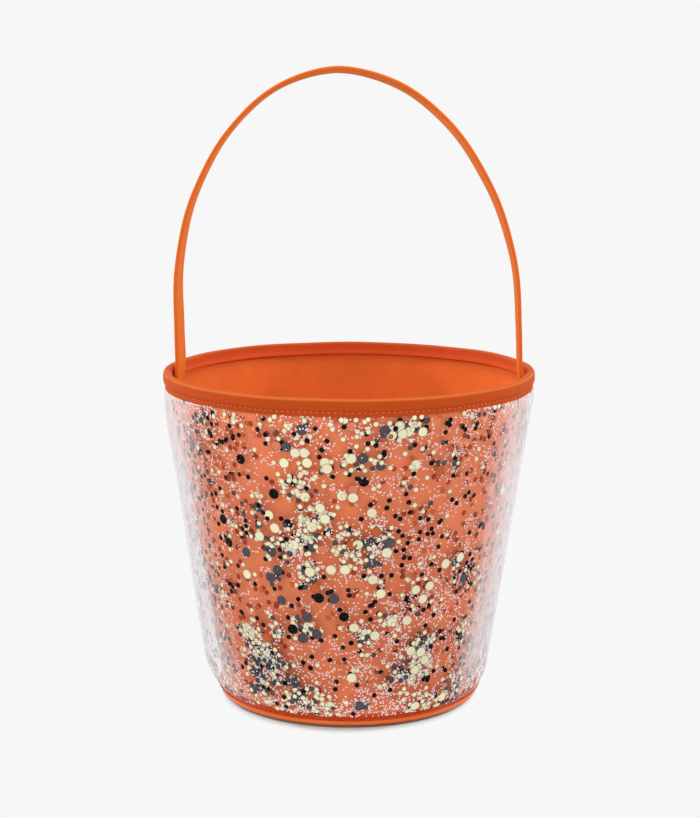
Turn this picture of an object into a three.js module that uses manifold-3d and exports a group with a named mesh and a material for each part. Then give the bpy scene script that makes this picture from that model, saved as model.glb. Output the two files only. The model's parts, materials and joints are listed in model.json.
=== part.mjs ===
// A soft confetti bucket: an orange fabric liner inside a clear sleeve, loose confetti between the two,
// a bound rim, a piped base and an upright strap handle sewn inside the rim.
// Millimetres, +Z up. The origin is on the ground under the middle of the base, with the handle along X.

import * as THREE from 'three';
import { mergeVertices } from 'three/addons/utils/BufferGeometryUtils.js';
import Module from 'manifold-3d';

// Room left between two pieces that touch, and the extra room a flat piece needs beside a round one
const SEAT_GAP = 0.3;
const FACET_ROOM = 0.2;

// Smoothness of the round pieces and of the handle
const ROUND_STEPS = 60;
const HANDLE_STEPS = 60;
const DISC_STEPS = 10;

// Overall size
const RIM_RADIUS = 120;
const RIM_TOP = 214.2;
const BASE_RADIUS = 84.6;

// Sheet materials
const SLEEVE_THICKNESS = 0.4;
const LINER_THICKNESS = 0.8;
const BINDING_THICKNESS = 0.8;
const THREAD_THICKNESS = 0.5;

// Rim binding and the hoop inside it
const BINDING_DROP_OUTSIDE = 10.7;
const BINDING_DROP_INSIDE = 9.5;
const BINDING_ROLL_HEIGHT = 2;
const BINDING_HEM_FLARE = 0.2;
const TOPSTITCH_DROP = 8;
const HOOP_THICKNESS = 1;
const HOOP_HEIGHT = 3.6;
const WAIST_RUN = 1.2;

// Base: outer panel, board and piping
const PANEL_THICKNESS = 1.2;
const BOARD_THICKNESS = 2.4;
const BOARD_EDGE_MARGIN = 3;
const PIPING_DIAMETER = 4.3;
const PIPING_SKIN = 0.6;
const PIPING_SLOT_ANGLE = THREE.MathUtils.degToRad(30);
const SEAM_INSET = 1;
const SEAM_TAPE_THICKNESS = 0.8;
const SEAM_TAPE_HEIGHT = 3;
const SEAM_THREAD_HEIGHT = 1.1;

// Wall of the sleeve: a cone that tucks in at the foot and puffs out under the binding
const SLEEVE_CONE_START = 18.6;
const SLEEVE_FOOT_STANDOFF = 5.9;
const SLEEVE_CONE_END_DROP = 18;
const SLEEVE_HEAD_INSET = 1.05;
const SLEEVE_PUFF_DROP = 2.1;
const SLEEVE_PUFF_INSET = 0.6;
const SLEEVE_TUCK_STEPS = 4;

// Wall of the liner: it sags inwards below the strap's ends and flares out to meet the binding
const LINER_SAG = 2;
const LINER_SAG_STEPS = 6;
const LINER_NECK_DROP = 16;
const LINER_HEAD_DROP = 11;
const LINER_NECK_INSET = 1.6;

// Side seams, on the left under the handle
const SLEEVE_SEAM_WIDTH = 8;
const LINER_SEAM_WIDTH = 10;
const LINER_SEAM_THICKNESS = 0.8;

// Handle strap
const STRAP_WIDTH = 25;
const STRAP_THICKNESS = 2.6;
const STRAP_SKIN = 0.5;
const STRAP_CORE_MARGIN = 2.2;
const STRAP_LEG_LENGTH = 30;
const STRAP_CROWN_RISE = 154.6;
const STRAP_CROWN_LEAN = -6;
const STRAP_SWING = THREE.MathUtils.degToRad(70);
const SWING_ROOM = 0.5;
const STRAP_JOIN_ROOM = 0.4;

// Sewn ends of the strap
const END_LENGTH = 24;
const END_SEWN_LENGTH = 15;
const BOX_STITCH_MARGIN = 2.5;

// Confetti: the large discs, against the sleeve's inner face
const DISC_DIAMETER = 6.4;
const DISC_THICKNESS = 0.3;
const DISCS_PER_COLOUR = 9;
const DISC_LOWEST = 24;
const DISC_TOP_DROP = 26;
const GOLDEN_ANGLE = Math.PI * (3 - Math.sqrt(5));

// Places worked out from the sizes above
const seamZ = PIPING_DIAMETER + SEAT_GAP;
const pipingCentreRadius = BASE_RADIUS - PIPING_DIAMETER / 2;
const panelRadius = BASE_RADIUS - PIPING_DIAMETER - SEAT_GAP;
const boardBottom = PANEL_THICKNESS + SEAT_GAP;
const boardTop = boardBottom + BOARD_THICKNESS;
const boardRadius = panelRadius - BOARD_EDGE_MARGIN;

const rollBottom = RIM_TOP - BINDING_ROLL_HEIGHT;
const hemBottom = RIM_TOP - BINDING_DROP_OUTSIDE;
const innerHemBottom = RIM_TOP - BINDING_DROP_INSIDE;
const stitchZ = RIM_TOP - TOPSTITCH_DROP;
const hoopBottom = rollBottom - HOOP_HEIGHT;
const endBottom = innerHemBottom - END_LENGTH + STRAP_THICKNESS;

const sleeveHeadRadius = RIM_RADIUS - BINDING_THICKNESS - SEAT_GAP;
const hoopOuterRadius = sleeveHeadRadius - SLEEVE_THICKNESS - SEAT_GAP;
const hoopInnerRadius = hoopOuterRadius - HOOP_THICKNESS;
const linerHeadRadius = hoopInnerRadius - SEAT_GAP;
const innerLegOuterRadius = linerHeadRadius - LINER_THICKNESS - SEAT_GAP;
const innerLegInnerRadius = innerLegOuterRadius - BINDING_THICKNESS;
const pinch = HOOP_THICKNESS + SEAT_GAP;

const linerFootRadius = BASE_RADIUS - SEAM_INSET;
const sleeveFootRadius = linerFootRadius + SEAT_GAP + SEAM_TAPE_THICKNESS + SEAT_GAP + SLEEVE_THICKNESS;

// Materials
function plain(color, roughness, metalness = 0) {
  return new THREE.MeshStandardMaterial({ color, roughness, metalness });
}

const fabric = plain(0xd95f27, 0.85);
const bindingFabric = plain(0xc9541f, 0.8);
const strapFabric = plain(0xe0702d, 0.8);
const pipingVinyl = plain(0xe4691f, 0.25);
const seamFabric = plain(0xb8401a, 0.75);
const thread = plain(0xf07a32, 0.7);
const board = plain(0xd8d2c4, 0.7);
const plastic = plain(0xf2f2ef, 0.5);
const webbing = plain(0xd06a30, 0.9);
const clearFilm = new THREE.MeshStandardMaterial({
  color: 0xf4f6f8,
  roughness: 0.12,
  metalness: 0,
  transparent: true,
  opacity: 0.25,
});
const confettiColours = {
  black: plain(0x131316, 0.3, 0.3),
  charcoal: plain(0x4a4c52, 0.3, 0.4),
  gold: plain(0xf0e7ae, 0.35, 0.3),
  orange: plain(0xdf6a2c, 0.35, 0.2),
};

// Solid shapes

function revolve(outline) {
  const area = outline.reduce((sum, [r, z], i) => {
    const [nextR, nextZ] = outline[(i + 1) % outline.length];
    return sum + (r * nextZ - nextR * z) / 2;
  }, 0);
  const loop = area > 0 ? outline : [...outline].reverse();
  const points = [...loop, loop[0]].map(([r, z]) => new THREE.Vector2(r, z));
  return new THREE.LatheGeometry(points, ROUND_STEPS).rotateX(Math.PI / 2);
}

function revolveDisc(radius, bottom, top) {
  return revolve([[0, bottom], [radius, bottom], [radius, top], [0, top]]);
}

function ringOfThread(innerRadius, middleZ) {
  const half = THREAD_THICKNESS / 2;
  const outerRadius = innerRadius + THREAD_THICKNESS;
  return revolve([
    [innerRadius, middleZ - half],
    [outerRadius, middleZ - half],
    [outerRadius, middleZ + half],
    [innerRadius, middleZ + half],
  ]);
}

// A wall of even thickness inside an outer line of [radius, z] points that runs from foot to head
function wallOutline(outerLine, thickness) {
  const innerLine = outerLine.map(([r, z]) => [r - thickness, z]).reverse();
  return [...outerLine, ...innerLine];
}

// Radius of a line of [radius, z] points at one height
function radiusAt(line, z) {
  const i = line.findIndex(([, lineZ], index) => index > 0 && z <= lineZ);
  const [lowRadius, lowZ] = line[i - 1];
  const [highRadius, highZ] = line[i];
  return lowRadius + (highRadius - lowRadius) * (z - lowZ) / (highZ - lowZ);
}

const wasm = await Module();
wasm.setup();

function toSolid(geometry) {
  const bare = geometry.clone();
  bare.deleteAttribute('normal');
  bare.deleteAttribute('uv');
  const merged = mergeVertices(bare, 1e-4);
  return new wasm.Manifold(new wasm.Mesh({
    numProp: 3,
    vertProperties: new Float32Array(merged.attributes.position.array),
    triVerts: new Uint32Array(merged.index.array),
  }));
}

function toGeometry(solid) {
  const mesh = solid.getMesh();
  const geometry = new THREE.BufferGeometry();
  geometry.setAttribute('position', new THREE.BufferAttribute(mesh.vertProperties, 3));
  geometry.setIndex(new THREE.BufferAttribute(mesh.triVerts, 1));
  geometry.computeVertexNormals();
  return geometry;
}

// Lines of the two walls

function sleeveLine() {
  const coneStartRadius = sleeveFootRadius + SLEEVE_FOOT_STANDOFF;
  const coneEndZ = RIM_TOP - SLEEVE_CONE_END_DROP;
  const coneEndRadius = RIM_RADIUS - SLEEVE_HEAD_INSET;
  const coneSlope = (coneEndRadius - coneStartRadius) / (coneEndZ - SLEEVE_CONE_START);
  const tuckHeight = SLEEVE_CONE_START - seamZ;
  const tuckDepth = coneStartRadius - coneSlope * tuckHeight - sleeveFootRadius;
  const line = [];
  for (let i = 0; i <= SLEEVE_TUCK_STEPS; i += 1) {
    const rise = i / SLEEVE_TUCK_STEPS;
    const coneRadius = coneStartRadius - coneSlope * tuckHeight * (1 - rise);
    line.push([coneRadius - tuckDepth * (1 - rise) ** 2, seamZ + tuckHeight * rise]);
  }
  line.push([coneEndRadius, coneEndZ]);
  line.push([RIM_RADIUS - SLEEVE_PUFF_INSET, hemBottom - SLEEVE_PUFF_DROP]);
  line.push([sleeveHeadRadius - pinch, hemBottom - SEAT_GAP]);
  line.push([sleeveHeadRadius - pinch, hoopBottom - SEAT_GAP - WAIST_RUN]);
  line.push([sleeveHeadRadius, hoopBottom - SEAT_GAP]);
  line.push([sleeveHeadRadius, rollBottom]);
  return line;
}

function linerLine() {
  const neckZ = RIM_TOP - LINER_NECK_DROP;
  const neckRadius = linerHeadRadius - LINER_NECK_INSET;
  const coneSlope = (neckRadius - linerFootRadius) / (neckZ - seamZ);
  const sagHeight = endBottom - SEAT_GAP - seamZ;
  const line = [];
  for (let i = 0; i <= LINER_SAG_STEPS; i += 1) {
    const share = i / LINER_SAG_STEPS;
    const coneRadius = linerFootRadius + coneSlope * sagHeight * share;
    line.push([coneRadius - LINER_SAG * Math.sin(Math.PI * share), seamZ + sagHeight * share]);
  }
  line.push([neckRadius, neckZ]);
  line.push([linerHeadRadius, RIM_TOP - LINER_HEAD_DROP]);
  line.push([linerHeadRadius, rollBottom]);
  return line;
}

const sleeveOuter = sleeveLine();
const linerOuter = linerLine();
const linerInnerAt = (z) => radiusAt(linerOuter, z) - LINER_THICKNESS;

const bucket = new THREE.Group();

function add(name, geometry, material) {
  const mesh = new THREE.Mesh(geometry, material);
  mesh.name = name;
  bucket.add(mesh);
  return mesh;
}

// A strip that runs up the left side between two thin shells of the given outer line
function sideStrip(outerLine, thickness, width) {
  const [, bottom] = outerLine[0];
  const [, top] = outerLine[outerLine.length - 1];
  const shell = toSolid(revolve(wallOutline(outerLine, thickness)));
  const window = new THREE.BoxGeometry(RIM_RADIUS * 2, width, top - bottom + 2);
  window.translate(-RIM_RADIUS, 0, (bottom + top) / 2);
  return toGeometry(shell.intersect(toSolid(window)));
}

// Base

function addBase() {
  add('base_panel', revolveDisc(panelRadius, 0, PANEL_THICKNESS), seamFabric);
  add('base_board', revolveDisc(boardRadius, boardBottom, boardTop), board);

  const outer = PIPING_DIAMETER / 2;
  const inner = outer - PIPING_SKIN;
  const skin = [];
  const hollow = [];
  const arcSteps = 8;
  for (let i = 0; i <= arcSteps; i += 1) {
    const share = i / arcSteps;
    const angle = Math.PI / 2 + PIPING_SLOT_ANGLE + (2 * Math.PI - 2 * PIPING_SLOT_ANGLE) * share;
    skin.push([pipingCentreRadius + outer * Math.cos(angle), outer + outer * Math.sin(angle)]);
    hollow.unshift([pipingCentreRadius + inner * Math.cos(angle), outer + inner * Math.sin(angle)]);
  }
  add('base_piping_cover', revolve([...skin, ...hollow]), pipingVinyl);

  const cordRadius = inner - SEAT_GAP;
  const cord = [];
  const cordSides = 6;
  for (let i = 0; i < cordSides; i += 1) {
    const angle = 2 * Math.PI * i / cordSides;
    cord.push([pipingCentreRadius + cordRadius * Math.cos(angle), outer + cordRadius * Math.sin(angle)]);
  }
  add('base_piping_cord', revolve(cord), plastic);

  const tapeLine = [seamZ, seamZ + SEAM_TAPE_HEIGHT].map((z) => (
    [radiusAt(linerOuter, z) + SEAT_GAP + SEAM_TAPE_THICKNESS, z]
  ));
  add('base_seam_tape', revolve(wallOutline(tapeLine, SEAM_TAPE_THICKNESS)), seamFabric);
  const threadZ = seamZ + SEAM_THREAD_HEIGHT;
  const threadRadius = radiusAt(sleeveOuter, threadZ + THREAD_THICKNESS / 2) + SEAT_GAP;
  add('base_seam_thread', ringOfThread(threadRadius, threadZ), thread);
}

// Liner

function addLiner() {
  add('liner_wall', revolve(wallOutline(linerOuter, LINER_THICKNESS)), fabric);

  const floorRadius = linerInnerAt(seamZ) - SEAT_GAP;
  const floorMiddleZ = boardTop + SEAT_GAP;
  add('liner_floor', revolve([
    [0, floorMiddleZ],
    [boardRadius, floorMiddleZ],
    [panelRadius, seamZ],
    [floorRadius, seamZ],
    [floorRadius, seamZ + LINER_THICKNESS],
    [panelRadius, seamZ + LINER_THICKNESS],
    [boardRadius, floorMiddleZ + LINER_THICKNESS],
    [0, floorMiddleZ + LINER_THICKNESS],
  ]), fabric);

  const tapeBottom = Math.max(seamZ, floorMiddleZ) + LINER_THICKNESS + SEAT_GAP;
  const tapeTop = endBottom - SEAT_GAP;
  const bends = linerOuter.map(([, z]) => z).filter((z) => z > tapeBottom && z < tapeTop);
  const line = [tapeBottom, ...bends, tapeTop].map((z) => [linerInnerAt(z) - SEAT_GAP, z]);
  add('liner_seam_tape', sideStrip(line, LINER_SEAM_THICKNESS, LINER_SEAM_WIDTH), bindingFabric);
}

// Sleeve

function addSleeve() {
  add('clear_sleeve', revolve(wallOutline(sleeveOuter, SLEEVE_THICKNESS)), clearFilm);

  const [, stripTop] = sleeveOuter[SLEEVE_TUCK_STEPS + 1];
  const line = sleeveOuter
    .filter(([, z]) => z > seamZ + SEAM_TAPE_HEIGHT && z <= stripTop)
    .map(([r, z]) => [r + SEAT_GAP + SLEEVE_THICKNESS, z]);
  add('sleeve_seam_strip', sideStrip(line, SLEEVE_THICKNESS, SLEEVE_SEAM_WIDTH), clearFilm);
}

// Rim

function addRim() {
  const middle = (RIM_RADIUS + innerLegInnerRadius) / 2;
  const halfWidth = RIM_RADIUS - middle;
  const roll = (inset, steps) => {
    const points = [];
    for (let i = 0; i <= steps; i += 1) {
      const angle = Math.PI * i / steps;
      points.push([
        middle + (halfWidth - inset) * Math.cos(angle),
        rollBottom + (BINDING_ROLL_HEIGHT - inset) * Math.sin(angle),
      ]);
    }
    return points;
  };
  const waistTop = hoopBottom - 2 * SEAT_GAP;
  const waistBottom = waistTop - WAIST_RUN;
  const waistRadius = RIM_RADIUS - pinch;
  const hemFoldZ = (hemBottom + stitchZ) / 2;
  const outside = [
    [waistRadius + BINDING_HEM_FLARE, hemBottom],
    [waistRadius, hemFoldZ],
    [waistRadius, waistBottom],
    [RIM_RADIUS, waistTop],
  ];
  const inside = outside.map(([r, z]) => [r - BINDING_THICKNESS, z]).reverse();
  add('rim_binding', revolve([
    ...outside,
    ...roll(0, 6),
    [innerLegInnerRadius, innerHemBottom],
    [innerLegOuterRadius, innerHemBottom],
    ...roll(BINDING_THICKNESS, 4).reverse(),
    ...inside,
  ]), bindingFabric);

  add('rim_hoop', revolve([
    [hoopInnerRadius, hoopBottom],
    [hoopOuterRadius, hoopBottom],
    [hoopOuterRadius, rollBottom],
    [hoopInnerRadius, rollBottom],
  ]), plastic);

  add('rim_topstitch', ringOfThread(waistRadius + SEAT_GAP, stitchZ), thread);
}

// Sewn ends of the strap: flat on the liner below, then upright to the swinging part

const sewnTop = endBottom + END_SEWN_LENGTH;

function seatX(z) {
  const reach = linerInnerAt(z) - SEAT_GAP - FACET_ROOM;
  return Math.sqrt(reach ** 2 - (STRAP_WIDTH / 2) ** 2);
}

const legOuterX = seatX(sewnTop);
const legX = legOuterX - STRAP_THICKNESS / 2;

// The hinge line sits just high enough for the strap, fully swung, to pass over the rim
const halfStrap = STRAP_WIDTH / 2;
const rimCrossing = Math.sqrt(innerLegInnerRadius ** 2 - legOuterX ** 2);
const swungEdgeDrop = halfStrap * Math.sin(STRAP_SWING)
  - (rimCrossing - halfStrap * Math.cos(STRAP_SWING)) / Math.tan(STRAP_SWING);
const hingeZ = RIM_TOP + SWING_ROOM + swungEdgeDrop;
const endTop = hingeZ - halfStrap - STRAP_JOIN_ROOM;

function addSewnEnd(side) {
  const name = side < 0 ? 'left' : 'right';
  const outline = new THREE.Shape([
    new THREE.Vector2(seatX(endBottom), endBottom),
    new THREE.Vector2(legOuterX, sewnTop),
    new THREE.Vector2(legOuterX, endTop),
    new THREE.Vector2(legOuterX - STRAP_THICKNESS, endTop),
    new THREE.Vector2(legOuterX - STRAP_THICKNESS, sewnTop),
    new THREE.Vector2(seatX(endBottom) - STRAP_THICKNESS, endBottom),
  ]);
  const strap = new THREE.ExtrudeGeometry(outline, { depth: STRAP_WIDTH, bevelEnabled: false });
  strap.translate(0, 0, -STRAP_WIDTH / 2).rotateX(Math.PI / 2);
  const end = add(`handle_end_${name}`, strap, strapFabric);

  const slope = Math.atan2(legOuterX - seatX(endBottom), END_SEWN_LENGTH);
  const stitched = add(`handle_end_stitch_${name}`, boxStitch(), thread);
  stitched.position.set((legOuterX + seatX(endBottom)) / 2 - STRAP_THICKNESS, 0, (endBottom + sewnTop) / 2);
  stitched.rotation.y = slope;
  stitched.geometry.translate(-SEAT_GAP / Math.cos(slope) - THREAD_THICKNESS, 0, 0);

  if (side < 0) {
    const turn = new THREE.Group();
    turn.rotation.z = Math.PI;
    turn.add(end, stitched);
    bucket.add(turn);
  }
}

// Thread sewn as a box with one diagonal, lying in the YZ plane
function boxStitch() {
  const half = THREAD_THICKNESS / 2;
  const y = STRAP_WIDTH / 2 - BOX_STITCH_MARGIN;
  const z = END_SEWN_LENGTH / 2 - BOX_STITCH_MARGIN;
  const corners = [[-y, -z], [y, -z], [y, z], [-y, z]];
  const runs = corners.map((corner, i) => [corner, corners[(i + 1) % corners.length]]);
  runs.push([corners[0], corners[2]]);
  const solids = runs.map(([[y1, z1], [y2, z2]]) => {
    const length = Math.hypot(y2 - y1, z2 - z1) + THREAD_THICKNESS;
    const run = new THREE.BoxGeometry(THREAD_THICKNESS, length, THREAD_THICKNESS);
    run.rotateX(Math.atan2(z2 - z1, y2 - y1));
    run.translate(half, (y1 + y2) / 2, (z1 + z2) / 2);
    return toSolid(run);
  });
  return toGeometry(solids.reduce((joined, solid) => joined.add(solid)));
}

// Swinging part of the strap: straight legs and a half-ellipse crown that leans a little to the left

const springZ = hingeZ + STRAP_LEG_LENGTH;
const crownZ = springZ + STRAP_CROWN_RISE;

class Crown extends THREE.Curve {
  getPoint(t, target = new THREE.Vector3()) {
    const angle = Math.PI * (1 - t);
    return target.set(legX * Math.cos(angle), 0, springZ + STRAP_CROWN_RISE * Math.sin(angle));
  }
}

function strapRun(width, thickness, footZ) {
  const path = new THREE.CurvePath();
  const foot = (x) => new THREE.Vector3(x, 0, footZ);
  const spring = (x) => new THREE.Vector3(x, 0, springZ);
  path.add(new THREE.LineCurve3(foot(-legX), spring(-legX)));
  path.add(new Crown());
  path.add(new THREE.LineCurve3(spring(legX), foot(legX)));
  const section = new THREE.Shape([
    new THREE.Vector2(-width / 2, -thickness / 2),
    new THREE.Vector2(width / 2, -thickness / 2),
    new THREE.Vector2(width / 2, thickness / 2),
    new THREE.Vector2(-width / 2, thickness / 2),
  ]);
  return new THREE.ExtrudeGeometry(section, { steps: HANDLE_STEPS, extrudePath: path });
}

function leanCrown(geometry) {
  const place = geometry.attributes.position;
  for (let i = 0; i < place.count; i += 1) {
    const rise = Math.max(0, place.getZ(i) - hingeZ) / (crownZ - hingeZ);
    place.setX(i, place.getX(i) + STRAP_CROWN_LEAN * rise);
  }
  return geometry;
}

function addHandle() {
  let cover = toSolid(strapRun(STRAP_WIDTH, STRAP_THICKNESS, hingeZ));
  for (const x of [-legX, legX]) {
    const roundEnd = new THREE.CylinderGeometry(halfStrap, halfStrap, STRAP_THICKNESS, 24);
    roundEnd.rotateZ(Math.PI / 2).translate(x, 0, hingeZ);
    cover = cover.add(toSolid(roundEnd));
  }
  const pocketWidth = STRAP_WIDTH - 2 * STRAP_CORE_MARGIN;
  const pocketThickness = STRAP_THICKNESS - 2 * STRAP_SKIN;
  const pocket = toSolid(strapRun(pocketWidth, pocketThickness, hingeZ - STRAP_WIDTH));
  add('handle_cover', leanCrown(toGeometry(cover.subtract(pocket))), strapFabric);

  const coreWidth = pocketWidth - 2 * SEAT_GAP;
  const coreThickness = pocketThickness - 2 * SEAT_GAP;
  add('handle_core', leanCrown(strapRun(coreWidth, coreThickness, hingeZ)), webbing);
}

// Confetti: large discs spread round and up the wall, flat against the sleeve

function addConfetti() {
  const colours = Object.entries(confettiColours);
  const count = colours.length * DISCS_PER_COLOUR;
  const top = RIM_TOP - DISC_TOP_DROP;
  for (let i = 0; i < count; i += 1) {
    const [colour, material] = colours[i % colours.length];
    const number = String(Math.floor(i / colours.length) + 1).padStart(2, '0');
    const z = DISC_LOWEST + (top - DISC_LOWEST) * (i + 0.5) / count;
    const slope = Math.atan2(radiusAt(sleeveOuter, z + 1) - radiusAt(sleeveOuter, z - 1), 2);
    const wall = radiusAt(sleeveOuter, z) - SLEEVE_THICKNESS - SEAT_GAP - FACET_ROOM;

    const shape = new THREE.CylinderGeometry(DISC_DIAMETER / 2, DISC_DIAMETER / 2, DISC_THICKNESS, DISC_STEPS);
    shape.rotateZ(Math.PI / 2);
    const disc = new THREE.Mesh(shape, material);
    disc.name = `confetti_${colour}_${number}`;
    disc.position.set(wall - DISC_THICKNESS / 2, 0, z);
    disc.rotation.y = slope;

    const place = new THREE.Group();
    place.rotation.z = i * GOLDEN_ANGLE;
    place.add(disc);
    bucket.add(place);
  }
}

addBase();
addLiner();
addSleeve();
addRim();
addSewnEnd(-1);
addSewnEnd(1);
addHandle();
addConfetti();

export default bucket;
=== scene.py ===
import json
import math

import bmesh
import bpy
import numpy as np
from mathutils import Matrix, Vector


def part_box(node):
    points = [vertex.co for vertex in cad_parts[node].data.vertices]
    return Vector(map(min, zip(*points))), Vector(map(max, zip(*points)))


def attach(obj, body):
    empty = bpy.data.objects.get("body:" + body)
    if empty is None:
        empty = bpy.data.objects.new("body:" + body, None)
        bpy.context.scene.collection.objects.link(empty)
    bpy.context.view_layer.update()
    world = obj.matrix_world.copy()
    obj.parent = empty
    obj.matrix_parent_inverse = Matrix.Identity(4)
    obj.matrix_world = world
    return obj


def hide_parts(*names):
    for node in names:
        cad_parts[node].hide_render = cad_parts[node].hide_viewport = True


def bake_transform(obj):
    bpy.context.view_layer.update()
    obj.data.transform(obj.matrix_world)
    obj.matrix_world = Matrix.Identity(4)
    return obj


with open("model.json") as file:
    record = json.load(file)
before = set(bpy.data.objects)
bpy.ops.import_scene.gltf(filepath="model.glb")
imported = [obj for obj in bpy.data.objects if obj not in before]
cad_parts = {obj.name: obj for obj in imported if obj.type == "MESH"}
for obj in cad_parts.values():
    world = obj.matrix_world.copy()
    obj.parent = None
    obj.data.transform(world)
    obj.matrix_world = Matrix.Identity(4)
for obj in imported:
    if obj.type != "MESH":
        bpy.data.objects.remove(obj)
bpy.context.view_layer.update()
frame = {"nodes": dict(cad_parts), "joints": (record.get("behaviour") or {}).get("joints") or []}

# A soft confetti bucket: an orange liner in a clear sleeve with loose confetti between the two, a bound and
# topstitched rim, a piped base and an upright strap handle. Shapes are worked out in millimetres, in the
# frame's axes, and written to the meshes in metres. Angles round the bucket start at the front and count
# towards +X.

MM = 0.001
rng = np.random.default_rng(31)


def span(node):
    """Lowest and highest corner of a CAD node, in millimetres."""
    low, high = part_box(node)
    return np.array(low) / MM, np.array(high) / MM


# Main sizes, read from the frame
rim_low, rim_high = span("rim_binding")
sleeve_low, sleeve_high = span("clear_sleeve")
_, liner_high = span("liner_wall")
floor_low, floor_high = span("liner_floor")
tape_low, tape_high = span("base_seam_tape")
stitch_low, stitch_high = span("rim_topstitch")
seam_thread_low, seam_thread_high = span("base_seam_thread")
strip_low, strip_high = span("sleeve_seam_strip")
liner_strip_low, liner_strip_high = span("liner_seam_tape")
end_low, end_high = span("handle_end_right")
_, cover_high = span("handle_cover")
core_low, core_high = span("handle_core")
panel_low, panel_high = span("base_panel")

RIM_RADIUS = rim_high[0]
RIM_TOP = rim_high[2]
HEM_BOTTOM = rim_low[2]
SEAM_Z = sleeve_low[2]
ROLL_BOTTOM = sleeve_high[2]
HINGE_Z = frame["joints"][0]["pos_m"][2] / MM

# Sheet thicknesses and clearances, as in the CAD
SEAT_GAP = 0.3
FILM_THICKNESS = 0.4
CLOTH_THICKNESS = 0.8
PIPING_DIAMETER = 4.3
PIPING_SKIN = 0.6
PIPING_SLOT_ANGLE = math.radians(30)
BASE_RADIUS = 84.6
LINER_FOOT_RADIUS = BASE_RADIUS - 1.0
SLEEVE_FOOT_RADIUS = LINER_FOOT_RADIUS + 2 * SEAT_GAP + CLOTH_THICKNESS + FILM_THICKNESS

# The sleeve's cone, its tuck at the foot and its puff under the binding
CONE_START_Z = 18.6
CONE_START_RADIUS = SLEEVE_FOOT_RADIUS + 5.9
CONE_END_Z = RIM_TOP - 18
CONE_END_RADIUS = RIM_RADIUS - 1.05
PUFF_Z = HEM_BOTTOM - 2.1
PUFF_RADIUS = RIM_RADIUS - 0.6
WAIST_PINCH = 1.3
HEAD_RADIUS = RIM_RADIUS - CLOTH_THICKNESS - SEAT_GAP
HOOP_BOTTOM = ROLL_BOTTOM - 3.6
CONE_SLOPE = (CONE_END_RADIUS - CONE_START_RADIUS) / (CONE_END_Z - CONE_START_Z)

# The liner's wall
LINER_HEAD_RADIUS = liner_high[0]
LINER_NECK_Z = RIM_TOP - 16
LINER_NECK_RADIUS = LINER_HEAD_RADIUS - 1.6
LINER_SAG = 2.0
LINER_SAG_TOP = end_low[2] - SEAT_GAP
LINER_SLOPE = (LINER_NECK_RADIUS - LINER_FOOT_RADIUS) / (LINER_NECK_Z - SEAM_Z)

# Middle radii of the two side seams, and the rows of stitches
WELD_RADIUS = 105
TAPE_RADIUS = 90
TOPSTITCH_Z = (stitch_low[2] + stitch_high[2]) / 2
TOPSTITCH_COUNT = 209
BASE_STITCH_Z = (seam_thread_low[2] + seam_thread_high[2]) / 2
BASE_STITCH_COUNT = 290
PIPING_SWELL = 0.45
INNER_DROP = 8.2
BINDING_JOIN = math.radians(268)

# The strap
STRAP_WIDTH = end_high[1] - end_low[1]
STRAP_THICKNESS = 2.6
LEG_X = end_high[0] - STRAP_THICKNESS / 2
END_BOTTOM = end_low[2]
SEWN_TOP = END_BOTTOM + 15
FOOT_X = end_low[0] + STRAP_THICKNESS / 2
SPRING_Z = HINGE_Z + 30
CROWN_Z = cover_high[2] - STRAP_THICKNESS / 2 - 0.6
CROWN_LEAN = -6.0
LEG_PULL = 2.1
CROWN_POINT = 1.5
CORE_THICKNESS = 1.0

# The camera, fitted to the rim, the base and the handle of the photograph
IMAGE_WIDTH, IMAGE_HEIGHT = 700, 818
CAMERA_DISTANCE = 1240.7
CAMERA_HEIGHT = 413.2
CAMERA_AZIMUTH = math.radians(4)
CAMERA_PITCH = math.radians(10.325)
FOCAL_PIXELS = 1938.6
SENSOR = 36.0


# Small helpers


def wave_sum(angle, terms):
    """A sum of cosines round the bucket, from (amplitude, count, phase) terms."""
    return sum(size * np.cos(count * angle + phase) for size, count, phase in terms)


def smoothstep(low, high, value):
    share = np.clip((value - low) / (high - low), 0, 1)
    return share * share * (3 - 2 * share)


def rounded(points, blur, step=0.5):
    """The line through points, resampled and with its corners rounded over about blur."""
    points = np.array(points, float)
    along = np.concatenate([[0], np.cumsum(np.hypot(*np.diff(points, axis=0).T))])
    count = max(2, int(round(along[-1] / step))) + 1
    at = np.linspace(0, along[-1], count)
    line = np.column_stack([np.interp(at, along, points[:, k]) for k in (0, 1)])
    reach = max(1, int(round(blur / step / 2)))
    kernel = np.ones(2 * reach + 1) / (2 * reach + 1)
    for _ in range(2):
        before = 2 * line[0] - line[reach:0:-1]
        after = 2 * line[-1] - line[-2 : -reach - 2 : -1]
        padded = np.vstack([before, line, after])
        line = np.column_stack([np.convolve(padded[:, k], kernel, "valid") for k in (0, 1)])
    return line


def thinned(line, longest, tolerance=0.02):
    """The points of a dense line that its shape needs, no further apart than longest."""
    kept = [0]
    for i in range(2, len(line)):
        start, end = line[kept[-1]], line[i]
        run = end - start
        length = np.hypot(*run)
        between = line[kept[-1] + 1 : i] - start
        off = np.abs(between[:, 0] * run[1] - between[:, 1] * run[0]).max() / max(length, 1e-9)
        if length > longest or off > tolerance:
            kept.append(i - 1)
    kept.append(len(line) - 1)
    return line[kept]


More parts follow.
